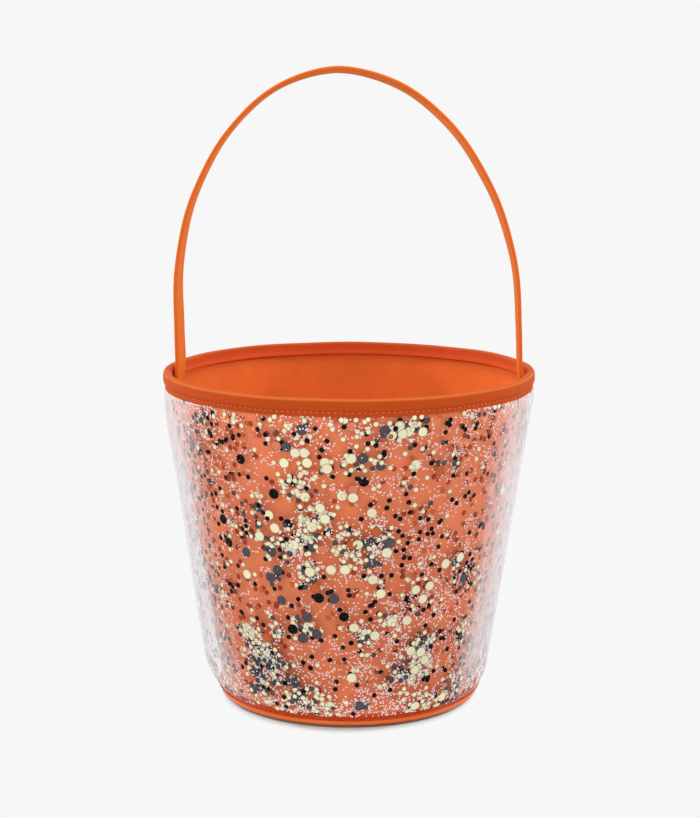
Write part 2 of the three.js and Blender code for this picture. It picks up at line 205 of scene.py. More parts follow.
def sheet_section(line, thickness, cap_steps=4):
    """The closed outline of a sheet of even thickness along line, with round edges."""
    line = np.array(line, float)
    tangent = np.gradient(line, axis=0)
    tangent /= np.hypot(*tangent.T)[:, None]
    normal = np.column_stack([tangent[:, 1], -tangent[:, 0]])
    half = thickness / 2

    def cap(centre, start, forward):
        turns = [math.pi * k / (cap_steps + 1) for k in range(1, cap_steps + 1)]
        return [centre + half * (start * math.cos(t) + forward * math.sin(t)) for t in turns]

    return np.vstack([
        line + half * normal,
        cap(line[-1], normal[-1], tangent[-1]),
        (line - half * normal)[::-1],
        cap(line[0], -normal[0], -tangent[0]),
    ])


def make_piece(name, vertices, faces, material, uv=None, body="bucket", smooth=True):
    """A mesh object in metres from vertices in millimetres, riding on its body."""
    mesh = bpy.data.meshes.new(name)
    mesh.from_pydata((np.asarray(vertices) * MM).tolist(), [], faces)
    if uv is not None:
        mesh.uv_layers.new(name="cloth").data.foreach_set("uv", np.asarray(uv, float).ravel())
    mesh.polygons.foreach_set("use_smooth", [smooth] * len(mesh.polygons))
    mesh.update()
    piece = bpy.data.objects.new(name, mesh)
    bpy.context.scene.collection.objects.link(piece)
    mesh.materials.append(material)
    if body:
        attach(piece, body)
    return piece


def lengths_round(section):
    """Distance round a closed section at each of its points, and back at the first."""
    return np.concatenate([[0], np.cumsum(np.hypot(*(np.roll(section, -1, axis=0) - section).T))])


def tube(name, points, places, section, end_uv, material, flip, body="bucket"):
    """A skin over rings of points, with the cloth's lengths as UV: places along it and lengths round its
    section. A tube that doesn't close on itself gets flat ends."""
    rings, count = points.shape[:2]
    steps = len(places) - 1
    around = lengths_round(section)
    i, j = (k.ravel() for k in np.meshgrid(np.arange(steps), np.arange(count), indexing="ij"))
    corners = [(i, j), (i + 1, j), (i + 1, j + 1), (i, j + 1)]
    if flip:
        corners = corners[::-1]
    faces = np.stack([p % rings * count + q % count for p, q in corners], axis=1).tolist()
    uv = np.stack([np.stack([places[p], around[q]], axis=1) for p, q in corners], axis=1).reshape(-1, 2)
    if rings > steps:
        first, last = list(range(count)), list(range(steps * count, rings * count))
        ends = [first[::-1], last] if flip else [first, last[::-1]]
        faces += ends
        uv = np.vstack([uv, [end_uv[k % count] for face in ends for k in face]])
    return make_piece(name, points.reshape(-1, 3), faces, material, uv, body)


def revolved(name, section, steps, material, offset=None, lift=None, angles=(0, 360)):
    """A closed section of (radius, z) points turned round Z, moved out by offset(angle, z) and up by
    lift(angle, z) where given. angles says how far round it goes, in degrees."""
    section = np.array(section, float)
    turn = np.radians(np.linspace(angles[0], angles[1], steps + 1))
    rings = steps if angles[1] - angles[0] == 360 else steps + 1
    radius, height = (np.tile(section[:, k], (rings, 1)) for k in (0, 1))
    a = turn[:rings, None]
    if offset is not None:
        radius += offset(a, height)
    if lift is not None:
        height = height + lift(a, height)
    points = np.stack([radius * np.sin(a), -radius * np.cos(a), height], axis=2)
    nexts = np.roll(section, -1, axis=0)
    inward = (section[:, 0] * nexts[:, 1] - nexts[:, 0] * section[:, 1]).sum() <= 0
    end_uv = section * (0, 1)
    return tube(name, points, turn * section[:, 0].mean(), section, end_uv, material, inward)


def scattered(name, template, faces, origins, frames, material, slot, smooth=False, edge=None):
    """Copies of a template mesh, each at its origin with its own three axes (which carry its scale). Where
    edge gives a second material (a painted shadow outline), every face of the template but its first two
    takes it."""
    origins, frames = np.array(origins, float), np.array(frames, float)
    template = np.array(template, float)
    points = origins[:, None, :] + np.einsum("tk,nkc->ntc", template, frames)
    count = len(template)
    all_faces = [[v + n * count for v in face] for n in range(len(origins)) for face in faces]
    piece = make_piece(name, points.reshape(-1, 3), all_faces, material, smooth=smooth)
    if edge:
        piece.data.materials.append(edge)
        pattern = [0, 0] + [1] * (len(faces) - 2)
        piece.data.polygons.foreach_set("material_index", pattern * len(origins))
    return piece


def paint_outside(piece, material):
    """Gives the faces that look away from the bucket's axis a material of their own. The two materials are
    copies of one cloth: the liner's outside painted paler for the vinyl's whitish reflection over it, the
    binding's inside painted lighter for the light that doesn't reach in.
    """
    piece.data.materials.append(material)
    for face in piece.data.polygons:
        reach = math.hypot(face.center.x, face.center.y)
        outward = (face.normal.x * face.center.x + face.normal.y * face.center.y) / reach
        face.material_index = 1 if outward > 0.2 else 0


def round_point(angle, radius, z):
    return np.array([radius * math.sin(angle), -radius * math.cos(angle), z])


def round_axes(angle, slope=0.0):
    """Axes on a cone's surface: along the turn, up the wall, and out of it."""
    along = np.array([math.cos(angle), math.sin(angle), 0])
    level = np.array([math.sin(angle), -math.cos(angle), 0])
    up = (level * slope + np.array([0, 0, 1])) / math.hypot(1, slope)
    return along, up, np.cross(along, up)


def disc_template(sides, crown=0.0):
    """A flat round disc of radius 1 and thickness 1. Where crown is given, a ring outside that radius is
    split from its face, for a painted shadow outline round the disc."""
    turns = [2 * math.pi * k / sides for k in range(sides)]
    rings = [(1.0, -0.5), (1.0, 0.5), (crown, 0.5)] if crown else [(1.0, -0.5), (1.0, 0.5)]
    points = [(r * math.cos(t), r * math.sin(t), z) for r, z in rings for t in turns]
    faces = [list(range(sides))[::-1], list(range(len(points) - sides, len(points)))]
    for ring in range(len(rings) - 1):
        for k in range(sides):
            a, b = ring * sides + k, ring * sides + (k + 1) % sides
            faces.append([a, b, b + sides, a + sides])
    return points, faces


def stitch_template():
    """One stitch of thread: a rounded bead 1 long, 1 wide and 1 high that dips into the cloth at its ends."""
    segments, sides, dip = 7, 6, 0.35
    points = [(-0.5, 0, -dip)]
    for s in range(1, segments):
        share = s / segments
        swell = math.sin(math.pi * share) ** 0.5
        for k in range(sides):
            t = 2 * math.pi * k / sides
            lift = -dip * (1 - math.sin(math.pi * share) ** 0.7)
            points.append((share - 0.5, 0.5 * swell * math.cos(t), lift + 0.5 * swell * math.sin(t)))
    points.append((0.5, 0, -dip))
    last = len(points) - 1
    faces = []
    for k in range(sides):
        k1 = (k + 1) % sides
        faces.append([0, 1 + k1, 1 + k])
        for s in range(segments - 2):
            a, b = 1 + s * sides + k, 1 + s * sides + k1
            faces.append([a, b, b + sides, a + sides])
        faces.append([last, last - sides + k, last - sides + k1])
    return points, faces


def sew(name, stitches, thread):
    """A row of stitches, each given by its middle and its three axes."""
    return scattered(name, *stitch_template(), *zip(*stitches), thread, "thread", smooth=True)


def rework(piece, work):
    """Lets work change the piece's mesh."""
    build = bmesh.new()
    build.from_mesh(piece.data)
    work(build)
    build.to_mesh(piece.data)
    build.free()
    piece.data.update()


def close_axis(piece):
    """Welds the tiny hole that a turned disc has on its axis."""
    def weld_hole(build):
        near = [v for v in build.verts if math.hypot(v.co.x, v.co.y) < 0.1 * MM]
        bmesh.ops.remove_doubles(build, verts=near, dist=0.2 * MM)
        bmesh.ops.dissolve_degenerate(build, edges=build.edges, dist=1e-7)

    rework(piece, weld_hole)


# Materials


class Shader:
    """A material under construction: its node tree, with short ways to add nodes and links."""

    def __init__(self, name):
        self.material = bpy.data.materials.new(name)
        self.material.use_nodes = True
        self.tree = self.material.node_tree
        self.tree.nodes.clear()
        self.output = self.add("ShaderNodeOutputMaterial")

    def add(self, kind, **settings):
        made = self.tree.nodes.new(kind)
        for key, value in settings.items():
            if key in made.inputs:
                self.put(made.inputs[key], value)
            else:
                setattr(made, key, value)
        return made

    def put(self, socket, value):
        if isinstance(value, bpy.types.NodeSocket):
            self.tree.links.new(value, socket)
        else:
            socket.default_value = value

    def vector(self, operation, first, second=(0, 0, 0), output="Vector"):
        made = self.add("ShaderNodeVectorMath", operation=operation)
        self.put(made.inputs[0], first)
        self.put(made.inputs[1], second)
        return made.outputs[output]

    def math(self, operation, *values):
        made = self.add("ShaderNodeMath", operation=operation)
        for socket, value in zip(made.inputs, values):
            self.put(socket, value)
        return made.outputs[0]

    def mix(self, share, first, second):
        made = self.add("ShaderNodeMix", data_type="RGBA")
        self.put(made.inputs["Factor"], share)
        for socket, value in ((made.inputs[6], first), (made.inputs[7], second)):
            self.put(socket, value)
        return made.outputs[2]

    def noise(self, scale, detail=3.0, roughness=0.55):
        where = self.add("ShaderNodeTexCoord").outputs["Object"]
        made = self.add("ShaderNodeTexNoise", Vector=where, Scale=scale, Detail=detail, Roughness=roughness)
        return made.outputs["Fac"]

    def ramp(self, value, start, end, low=0.0, high=1.0):
        """Smooth rise from low to high as a value goes from start to end."""
        made = self.add("ShaderNodeMapRange", interpolation_type="SMOOTHSTEP")
        self.put(made.inputs["Value"], value)
        for label, number in (("From Min", start), ("From Max", end), ("To Min", low), ("To Max", high)):
            made.inputs[label].default_value = number
        return made.outputs["Result"]

    def split(self, vector):
        parts = self.add("ShaderNodeSeparateXYZ")
        self.put(parts.inputs[0], vector)
        return parts.outputs

    def cloth_lengths(self):
        """Distances along and round a piece of cloth, in millimetres."""
        return self.split(self.add("ShaderNodeUVMap", uv_map="cloth").outputs[0])[:2]

    def height(self):
        """Height on the object at rest, in metres."""
        return self.split(self.add("ShaderNodeTexCoord").outputs["Object"])[2]

    def cover(self, share, first, second):
        """One shader over another."""
        made = self.add("ShaderNodeMixShader")
        for socket, value in zip(made.inputs, (share, first, second)):
            self.put(socket, value)
        return made.outputs[0]

    def surface(self, settings, relief=None, strength=0.0, depth=0.0):
        """The finished material from Principled settings, with relief as a bump depth millimetres deep."""
        body = self.add("ShaderNodeBsdfPrincipled")
        for label, value in settings.items():
            self.put(body.inputs[label], value)
        if relief:
            bump = self.add("ShaderNodeBump", Strength=strength, Distance=depth * MM, Height=relief)
            self.put(body.inputs["Normal"], bump.outputs[0])
        return self.finish(body.outputs[0])

    def finish(self, shader):
        self.put(self.output.inputs["Surface"], shader)
        return self.material


def linear(red, green, blue):
    """Scene-linear colour from 0-255 screen values."""
    def one(value):
        value /= 255
        return value / 12.92 if value <= 0.04045 else ((value + 0.055) / 1.055) ** 2.4
    return (one(red), one(green), one(blue), 1.0)


def shade(colour, share):
    return tuple(c * share for c in colour[:3]) + (1.0,)


def weave_height(sh, pitch):
    """Plain weave of threads at the given pitch in millimetres."""
    turn = 2 * math.pi / pitch
    waves = [sh.math("SINE", sh.math("MULTIPLY", way, turn)) for way in sh.cloth_lengths()]
    return sh.math("MULTIPLY", *waves)


def cloth(name, colour, pitch=0.5, depth=0.05, roughness=0.7, mottle=0.08, sheen=0.12, tint=(1.0, 0.42, 0.10),
          fold_tone=None, reach=1.0, edge=None):
    """Woven cloth: threads as bump, fine fibre noise and slow, uneven dye. Where the fold colour is given,
    the fold along the top of the rim takes it, down to reach below the top: a painted highlight on the
    binding's outside, a darker band on its inside. edge gives a painted shade for a strap's narrow front."""
    sh = Shader(name)
    slow = sh.noise(38, 4)
    fine = sh.noise(900, 2, 0.7)
    threads = weave_height(sh, pitch)
    tone = sh.math("MULTIPLY_ADD", slow, 0.65, sh.math("MULTIPLY", fine, 0.35))
    base = sh.mix(tone, shade(colour, 1 - mottle), shade(colour, 1 + mottle))
    base = sh.mix(sh.math("MULTIPLY_ADD", threads, 0.08, 0.08), base, shade(colour, 0.8))
    # Painted highlight along the binding's top fold; a darker band there on the binding's inside
    if fold_tone:
        uneven = sh.math("MULTIPLY_ADD", slow, 0.6 * MM, sh.height())
        base = sh.mix(sh.ramp(uneven, (RIM_TOP - reach) * MM, (RIM_TOP - 0.2) * MM), base, fold_tone)
    # Painted shade: a strap's narrow front, turned from the lamps, is coloured darker
    if edge:
        base = sh.mix(sh.ramp(sh.cloth_lengths()[1], STRAP_FRONT - 0.3, STRAP_FRONT + 0.4), base, edge)
    settings = {"Base Color": base, "Roughness": roughness, "Specular IOR Level": 0.06, "Sheen Weight": sheen,
                "Sheen Roughness": 0.5, "Sheen Tint": (*tint, 1.0)}
    relief = sh.math("MULTIPLY_ADD", fine, 0.6, sh.math("MULTIPLY", threads, 0.4))
    return sh.surface(settings, relief, 0.35, depth)


def thread_material(name, colour):
    """Twisted sewing thread."""
    sh = Shader(name)
    fine = sh.noise(1500, 2, 0.6)
    base = sh.mix(fine, shade(colour, 0.85), shade(colour, 1.12))
    return sh.surface({"Base Color": base, "Roughness": 0.6, "Specular IOR Level": 0.15}, fine, 0.4, 0.05)


def vinyl(name, colour):
    """Glossy coated vinyl, slightly uneven from being pulled round its cord, with painted shade darkening it
    towards the ground.
    """
    sh = Shader(name)
    ripple = sh.noise(420, 3)
    dyed = sh.mix(sh.noise(60, 2), shade(colour, 0.9), shade(colour, 1.1))
    # Painted shade: darker towards the bottom, where the floor shades the piping
    base = sh.mix(sh.ramp(sh.height(), 0.8 * MM, 3.4 * MM), shade(colour, 0.30), dyed)
    settings = {"Base Color": base, "Roughness": sh.math("MULTIPLY_ADD", ripple, 0.18, 0.14),
                "Coat Weight": 0.35, "Coat Roughness": 0.08, "Specular IOR Level": 0.25}
    return sh.surface(settings, ripple, 0.5, 0.15)


def plastic(name, colour, roughness=0.45, grain=300, depth=0.02):
    """Moulded plastic or board with a faint grain."""
    sh = Shader(name)
    grains = sh.noise(grain, 3)
    settings = {"Base Color": sh.mix(grains, shade(colour, 0.94), shade(colour, 1.04)),
                "Roughness": sh.math("MULTIPLY_ADD", grains, 0.15, roughness - 0.07)}
    return sh.surface(settings, grains, 0.3, depth)


# How milky the film is where it is seen at a slant
EDGE_HAZE = 0.38


def clear_film(name, haze=0.001):
    """Clear vinyl: a mirror-like sheen that grows towards its upright edges, a streaky milky haze where it is
    seen at a slant, and a grey line where it is seen edge-on. The haze is thinner at the foot and the top."""
    sh = Shader(name)
    raised = sh.vector("ADD", sh.add("ShaderNodeNewGeometry").outputs["Normal"], (0, 0, 0.40))
    weight = sh.add("ShaderNodeLayerWeight", Blend=0.5, Normal=sh.vector("NORMALIZE", raised))
    facing = weight.outputs["Facing"]

    slanted = sh.mix(sh.math("POWER", facing, 4.0), (1, 1, 1, 1), (0.93, 0.93, 0.95, 1))
    tint = sh.mix(sh.math("POWER", facing, 14.0), slanted, (0.60, 0.62, 0.65, 1))
    clear = sh.add("ShaderNodeBsdfTransparent", Color=tint).outputs[0]
    gloss = sh.add("ShaderNodeBsdfGlossy", Color=(1, 1, 1, 1))
    sh.put(gloss.inputs["Roughness"], sh.math("MULTIPLY_ADD", sh.noise(140, 4), 0.12, 0.16))
    shine = sh.math("MULTIPLY_ADD", sh.math("POWER", facing, 5.0), 0.40, 0.002)

    where = sh.add("ShaderNodeMapping", Vector=sh.add("ShaderNodeTexCoord").outputs["Object"])
    where.inputs["Scale"].default_value = (1, 1, 0.16)
    streaks = sh.add("ShaderNodeTexNoise", Vector=where.outputs["Vector"], Scale=150, Detail=3)
    depth = sh.math("MULTIPLY_ADD", streaks.outputs["Fac"], 0.7 * EDGE_HAZE, 0.65 * EDGE_HAZE)
    low = sh.ramp(sh.height(), 0.015, 0.110, 0.10, 0.0)
    veil = sh.math("MULTIPLY", sh.ramp(sh.math("ADD", facing, low), 0.36, 0.61), depth)
    cloud = sh.math("MULTIPLY_ADD", sh.math("POWER", facing, 10.0), 0.62, sh.math("ADD", veil, haze))
    cloud = sh.math("MULTIPLY", cloud, sh.ramp(sh.height(), SEAM_Z * MM, (SEAM_Z + 34) * MM, 0.10, 1.0))
    cloud = sh.math("MULTIPLY", cloud, sh.ramp(sh.height(), 0.150, 0.200, 1.0, 0.72))
    grey = sh.mix(sh.ramp(facing, 0.86, 0.94), (0.80, 0.80, 0.83, 1), (0.40, 0.41, 0.44, 1))
    milk = sh.add("ShaderNodeBsdfDiffuse", Color=grey).outputs[0]
    return sh.finish(sh.cover(cloud, sh.cover(shine, clear, gloss.outputs[0]), milk))


def foil(name, colour, roughness=0.4, metallic=0.0, spread=0.10, gloss=0.12):
    """Cut foil: each piece a little lighter or darker, glossy, with a faint crinkle."""
    sh = Shader(name)
    own = sh.add("ShaderNodeNewGeometry").outputs["Random Per Island"]
    crinkle = sh.noise(700, 2)
    base = sh.mix(own, shade(colour, 1 - spread), shade(colour, 1 + spread))
    settings = {"Base Color": sh.mix(sh.math("MULTIPLY", crinkle, 0.10), base, shade(colour, 0.85)),
                "Roughness": sh.math("MULTIPLY_ADD", own, 0.15, roughness - 0.07),
                "Metallic": metallic, "Specular IOR Level": gloss}
    return sh.surface(settings, crinkle, 0.03, 0.05)


def glitter(name):
    """Tiny iridescent flakes: white, pink and lilac, each flake its own tint."""
    sh = Shader(name)
    own = sh.add("ShaderNodeNewGeometry").outputs["Random Per Island"]
    ramp = sh.add("ShaderNodeValToRGB")
    sh.put(ramp.inputs[0], own)
    elements = ramp.color_ramp.elements
    elements[0].color, elements[1].color = (0.95, 0.93, 0.93, 1), (0.95, 0.95, 0.97, 1)
    between = {0.4: (0.93, 0.78, 0.80, 1), 0.65: (0.90, 0.86, 0.96, 1), 0.85: (0.97, 0.95, 0.86, 1)}
    for place, tint in between.items():
        elements.new(place).color = tint
    return sh.surface({"Base Color": ramp.outputs[0], "Roughness": sh.math("MULTIPLY_ADD", own, 0.2, 0.3)})


# Where a strap's narrow front begins, in millimetres round it; from there the strap cloth takes a painted
# shade
STRAP_FRONT = 49.2

liner_cloth = cloth("liner_cloth", linear(219, 107, 48), 0.55, roughness=0.85, mottle=0.32)
# The liner's outer faces, seen through the vinyl: the same cloth painted paler and pinker, standing in for
# the vinyl's whitish reflection over it
liner_outside_painted_haze = cloth("liner_outside_painted_haze", linear(243, 138, 93), 0.55, roughness=0.85, mottle=0.14, sheen=0.5,
                      tint=(1.0, 0.78, 0.64))
# The binding's outer faces carry a painted highlight along the top fold. Its inner faces are the same cloth
# painted lighter, standing in for light that doesn't reach inside, with a darker band at the top.
binding_cloth = cloth("binding_cloth", linear(184, 71, 25), sheen=0.07, fold_tone=linear(180, 94, 28), reach=1.15)
binding_inside_painted_lighter = cloth("binding_inside_painted_lighter", linear(206, 84, 38), fold_tone=linear(168, 66, 30), reach=2.6)
# The strap's narrow front takes a painted shade
strap_cloth = cloth("strap_cloth", linear(214, 112, 38), roughness=0.75, edge=linear(215, 102, 36))
seam_cloth = cloth("seam_cloth", linear(214, 76, 34), roughness=0.85, mottle=0.10)
webbing = cloth("webbing", linear(206, 98, 42), 0.9, 0.1, 0.85, 0.10)
bright_thread = thread_material("bright_thread", linear(234, 112, 46))
dark_thread = thread_material("dark_thread", linear(214, 82, 34))
seam_thread = thread_material("seam_thread", linear(196, 66, 30))
piping_vinyl = vinyl("piping_vinyl", linear(232, 106, 22))
board_grey = plastic("board_grey", linear(216, 210, 196), 0.7, 120, 0.05)
white_plastic = plastic("white_plastic", linear(238, 238, 234))
film = clear_film("film")
weld = clear_film("weld", haze=0.05)
glitter_flakes = glitter("glitter_flakes")

# Each foil's colour, with how it departs from the usual foil
FOILS = {
    "black": (linear(17, 17, 21), {"gloss": 0.03}),
    "charcoal": (linear(82, 81, 88), {"metallic": 0.1}),
    "gold": (linear(247, 240, 202), {"roughness": 0.45, "spread": 0.05}),
    "orange": (linear(208, 102, 46), {}),
    "peach": (linear(226, 134, 98), {"spread": 0.06}),
    # Colour of the dark discs painted on the liner as the confetti's shadows
    "painted_shadow": (linear(180, 75, 46), {"roughness": 0.5, "spread": 0.2}),
}
# How dark the painted shadow outline round each disc is, against its own foil
PAINTED_OUTLINE_SHADE = 0.36
foils = {kind: foil(f"foil_{kind}", colour, **ways) for kind, (colour, ways) in FOILS.items()}
foil_painted_outlines = {kind: foil(f"foil_{kind}_edge", shade(colour, PAINTED_OUTLINE_SHADE), 0.5)
              for kind, (colour, _) in FOILS.items()}


# Lines of the walls, outer faces


def sleeve_base(z):
    """Radius of the sleeve's outer face at a height, without its ripples."""
    cone = CONE_START_RADIUS + CONE_SLOPE * (z - CONE_START_Z)
    tuck_height = CONE_START_Z - SEAM_Z
    tuck_depth = CONE_START_RADIUS - CONE_SLOPE * tuck_height - SLEEVE_FOOT_RADIUS
    tuck = tuck_depth * np.clip((CONE_START_Z - z) / tuck_height, 0, 1) ** 2
    puff = (PUFF_RADIUS - CONE_END_RADIUS) * smoothstep(CONE_END_Z - 6, PUFF_Z, z)
    return np.minimum(cone, CONE_END_RADIUS) - tuck + puff


def sleeve_billow(angle, z):
    """How far the sleeve stands out on its left side, most of all low down."""
    side = np.clip(np.cos(angle + math.radians(88)), 0, 1) ** 2
    depth = 3.5 - 1.5 * smoothstep(50, 150, z)
    foot = smoothstep(SEAM_Z + 1, SEAM_Z + 22, z)
    head = 1 - smoothstep(HEM_BOTTOM - 26, HEM_BOTTOM - 2, z)
    return side * depth * foot * head


def sleeve_ripple(angle, z):
    """Soft upright flutes in the sleeve, with short puckers where it is sewn at the foot."""
    fade = smoothstep(SEAM_Z + 2, SEAM_Z + 40, z) * (1 - smoothstep(CONE_END_Z - 35, CONE_END_Z, z))
    slow = wave_sum(angle + 0.0006 * z, [(0.12, 13, 0.4), (0.035, 29, 1.9), (0.012, 41, 0.2)])
    long = wave_sum(angle, [(0.3, 3, 0.8), (0.2, 7, 2.0)]) * np.sin(np.pi * np.clip(z / RIM_TOP, 0, 1))
    pucker = wave_sum(angle, [(0.06, 67, 0.3), (0.05, 101, 1.2), (0.04, 83, 2.2)])
    low = smoothstep(SEAM_Z + 1, SEAM_Z + 5, z) * (1 - smoothstep(SEAM_Z + 8, SEAM_Z + 26, z))
    return fade * (slow + long) - 0.10 * fade + low * pucker + sleeve_billow(angle, z)


def sleeve_inner(angle, z):
    return sleeve_base(z) - FILM_THICKNESS + sleeve_ripple(angle, z)


def liner_radius(z):
    """Radius of the hanging liner's outer face at a height, without its unevenness."""
    share = np.clip((z - SEAM_Z) / (LINER_SAG_TOP - SEAM_Z), 0, 1)
    return LINER_FOOT_RADIUS + LINER_SLOPE * (z - SEAM_Z) - LINER_SAG * np.sin(np.pi * share)


def liner_line():
    heights = np.linspace(SEAM_Z, LINER_SAG_TOP, 40)
    top = [(LINER_NECK_RADIUS, LINER_NECK_Z), (LINER_HEAD_RADIUS, RIM_TOP - 11),
           (LINER_HEAD_RADIUS, ROLL_BOTTOM)]
    return np.vstack([np.column_stack([liner_radius(heights), heights]), top])


def liner_sway(angle, z):
    """Slow unevenness of the hanging liner, still at its two sewn edges."""
    fade = np.sin(np.pi * np.clip((z - SEAM_Z) / (LINER_SAG_TOP - SEAM_Z), 0, 1))
    lean = 0.02 * z
    right = 2.8 * np.clip(np.cos(angle - math.radians(92)), 0, 1) ** 2
    return fade * (right + wave_sum(angle + lean * 0.05, [(0.35, 5, 0.2), (0.25, 9, 1.4), (0.15, 16, 0.7)]))


def shifted(line, distance):
    """The line moved sideways in radius."""
    moved = np.array(line, float)
    moved[:, 0] += distance
    return moved


# Pieces


def make_base():
    middle = BASE_RADIUS - PIPING_DIAMETER / 2
    plump = PIPING_DIAMETER / 2 + PIPING_SWELL
    radius = plump - PIPING_SKIN / 2
    arc = np.linspace(math.pi / 2 + PIPING_SLOT_ANGLE, 2.5 * math.pi - PIPING_SLOT_ANGLE, 31)
    line = np.column_stack([middle + radius * np.cos(arc), plump + radius * np.sin(arc)])

    def pull(angle, z):
        lay = 0.05 * np.cos(120 * angle + 0.9 * z) + 0.04 * np.cos(171 * angle - 1.3 * z + 1.1)
        lap = 0.35 * np.exp(-(((angle - math.pi + 0.03) * middle) / 2.5) ** 2)
        return lay + lap

    section = sheet_section(line, PIPING_SKIN)
    piping = revolved("base_piping", section, 600, piping_vinyl, pull)
    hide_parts("base_piping_cover")

    tape_heights = np.linspace(tape_low[2] + 1.0, tape_high[2], 7)
    tape_radius = LINER_FOOT_RADIUS + LINER_SLOPE * (tape_heights - SEAM_Z) + SEAT_GAP + CLOTH_THICKNESS / 2
    tape_section = sheet_section(np.column_stack([tape_radius, tape_heights]), CLOTH_THICKNESS - 0.2)
    band = revolved("base_seam_band", tape_section, 4 * BASE_STITCH_COUNT, seam_cloth,
                    lambda angle, z: 0.10 * np.cos(BASE_STITCH_COUNT * angle))
    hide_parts("base_seam_tape")

    stitches = []
    for k in range(BASE_STITCH_COUNT):
        angle = 2 * math.pi * (k + 0.5) / BASE_STITCH_COUNT
        along, up, out = round_axes(angle, 0.6)
        spot = round_point(angle, sleeve_base(BASE_STITCH_Z) + 0.15, BASE_STITCH_Z)
        stitches.append((spot, [along * 1.5, up * 1.1, out * 0.9]))
    stitched = sew("base_seam_stitches", stitches, seam_thread)
    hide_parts("base_seam_thread")

    low, edge = panel_low[2], panel_high[0]
    panel_line = [(r, low + 0.3) for r in np.linspace(4, edge - 3, 20)]
    panel_line = [(0.02, low + 0.35)] + panel_line + [(edge - 0.4, low + 0.5)]
    panel = revolved("base_panel_cloth", sheet_section(panel_line, 0.6), 160, seam_cloth)
    close_axis(panel)
    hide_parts("base_panel")


def make_liner():
    wall = thinned(rounded(shifted(liner_line(), -CLOTH_THICKNESS / 2), 5), 3.0)
    section = sheet_section(wall, CLOTH_THICKNESS)
    piece = revolved("liner_fabric_wall", section, 360, liner_cloth, liner_sway)
    # Outer faces take the liner cloth painted paler and pinker, a painted reflection of the vinyl's haze
    paint_outside(piece, liner_outside_painted_haze)
    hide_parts("liner_wall")

    middle_z = floor_low[2] + CLOTH_THICKNESS / 2
    edge = floor_high[0]
    rise = floor_high[2] - CLOTH_THICKNESS / 2 - middle_z
    radii = np.concatenate([[0.02], np.linspace(3, edge - CLOTH_THICKNESS / 2, 44)])
    floor_line = [(r, middle_z + rise * smoothstep(edge - 10, edge - 3, r)) for r in radii]
    section = sheet_section(floor_line, CLOTH_THICKNESS)
    floor = revolved("liner_fabric_floor", section, 240, liner_cloth)
    close_axis(floor)
    dimple_floor(floor, edge)
    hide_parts("liner_floor")

    heights = np.linspace(liner_strip_low[2], liner_strip_high[2], 70)
    outer = liner_radius(heights) - CLOTH_THICKNESS - SEAT_GAP
    strip_line = np.column_stack([outer - CLOTH_THICKNESS / 2, heights])
    half_turn = math.degrees(5 / TAPE_RADIUS)
    strip = revolved("liner_side_seam", sheet_section(strip_line, CLOTH_THICKNESS), 10, binding_cloth,
                     liner_sway, angles=(-90 - half_turn, -90 + half_turn))
    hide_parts("liner_seam_tape")
    stitches = []
    for z in np.arange(liner_strip_low[2] + 3, liner_strip_high[2] - 2, 3.0):
        face = np.interp(z, heights, outer) - CLOTH_THICKNESS
        for side in (-3.2, 3.2):
            angle = -math.pi / 2 + side / face
            along, up, out = round_axes(angle, LINER_SLOPE)
            spot = round_point(angle, face + float(liner_sway(angle, z)) + 0.05, z)
            stitches.append((spot, [up * 2.0, along * 0.5, -out * 0.45]))
    sew("liner_seam_stitches", stitches, bright_thread)


def dimple_floor(piece, edge):
    """Shallow unevenness in the floor cloth, dying out at its sewn edge."""
    for vertex in piece.data.vertices:
        x, y = vertex.co.x / MM, vertex.co.y / MM
        fade = 1 - smoothstep(edge - 30, edge - 8, math.hypot(x, y))
        wave = math.sin(x / 14 + 0.6) * math.sin(y / 17 + 1.1) + 0.5 * math.sin((x + y) / 9)
        vertex.co.z += (0.12 * wave + 0.12) * fade * MM
    piece.data.update()


def make_sleeve():
    low = np.linspace(SEAM_Z + 0.2, CONE_START_Z, 16)
    cone = np.linspace(CONE_START_Z, PUFF_Z, 52)[1:]
    outer = [(float(sleeve_base(z)), z) for z in np.concatenate([low, cone])]
    waist = HEAD_RADIUS - WAIST_PINCH
    outer += [(PUFF_RADIUS, HEM_BOTTOM - 0.5), (waist, HEM_BOTTOM + 1.0),
              (waist, HOOP_BOTTOM - SEAT_GAP - 1.2), (HEAD_RADIUS, HOOP_BOTTOM - SEAT_GAP),
              (HEAD_RADIUS, ROLL_BOTTOM - 0.2)]
    line = thinned(rounded(shifted(outer, -FILM_THICKNESS / 2), 0.9, 0.3), 4.0, 0.01)
    section = sheet_section(line, FILM_THICKNESS, 2)
    piece = revolved("sleeve_film", section, 720, film, sleeve_ripple)
    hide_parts("clear_sleeve")

    heights = np.linspace(strip_low[2], strip_high[2], 160)
    strip_line = [(float(sleeve_base(z)) + SEAT_GAP / 2 + FILM_THICKNESS / 2, z) for z in heights]
    half_turn = math.degrees(4 / WELD_RADIUS)

    def welded(angle, z):
        inside = np.exp(-(((angle + math.pi / 2) * WELD_RADIUS) / 1.6) ** 4)
        return sleeve_ripple(angle, z) + 0.08 * inside * np.cos(2 * math.pi * z / 2.4)

    section = sheet_section(strip_line, FILM_THICKNESS, 2)
    strip = revolved("sleeve_seam", section, 16, weld, welded,
                     angles=(-90 - half_turn, -90 + half_turn))
    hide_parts("sleeve_seam_strip")


def rim_wave(angle, z):
    """Slight rise and fall of the soft rim."""
    high = smoothstep(HEM_BOTTOM - 6, RIM_TOP, z)
    return (0.4 + 0.6 * high) * wave_sum(angle, [(0.16, 3, 0.9), (0.12, 8, 0.3), (0.08, 13, 1.9)])


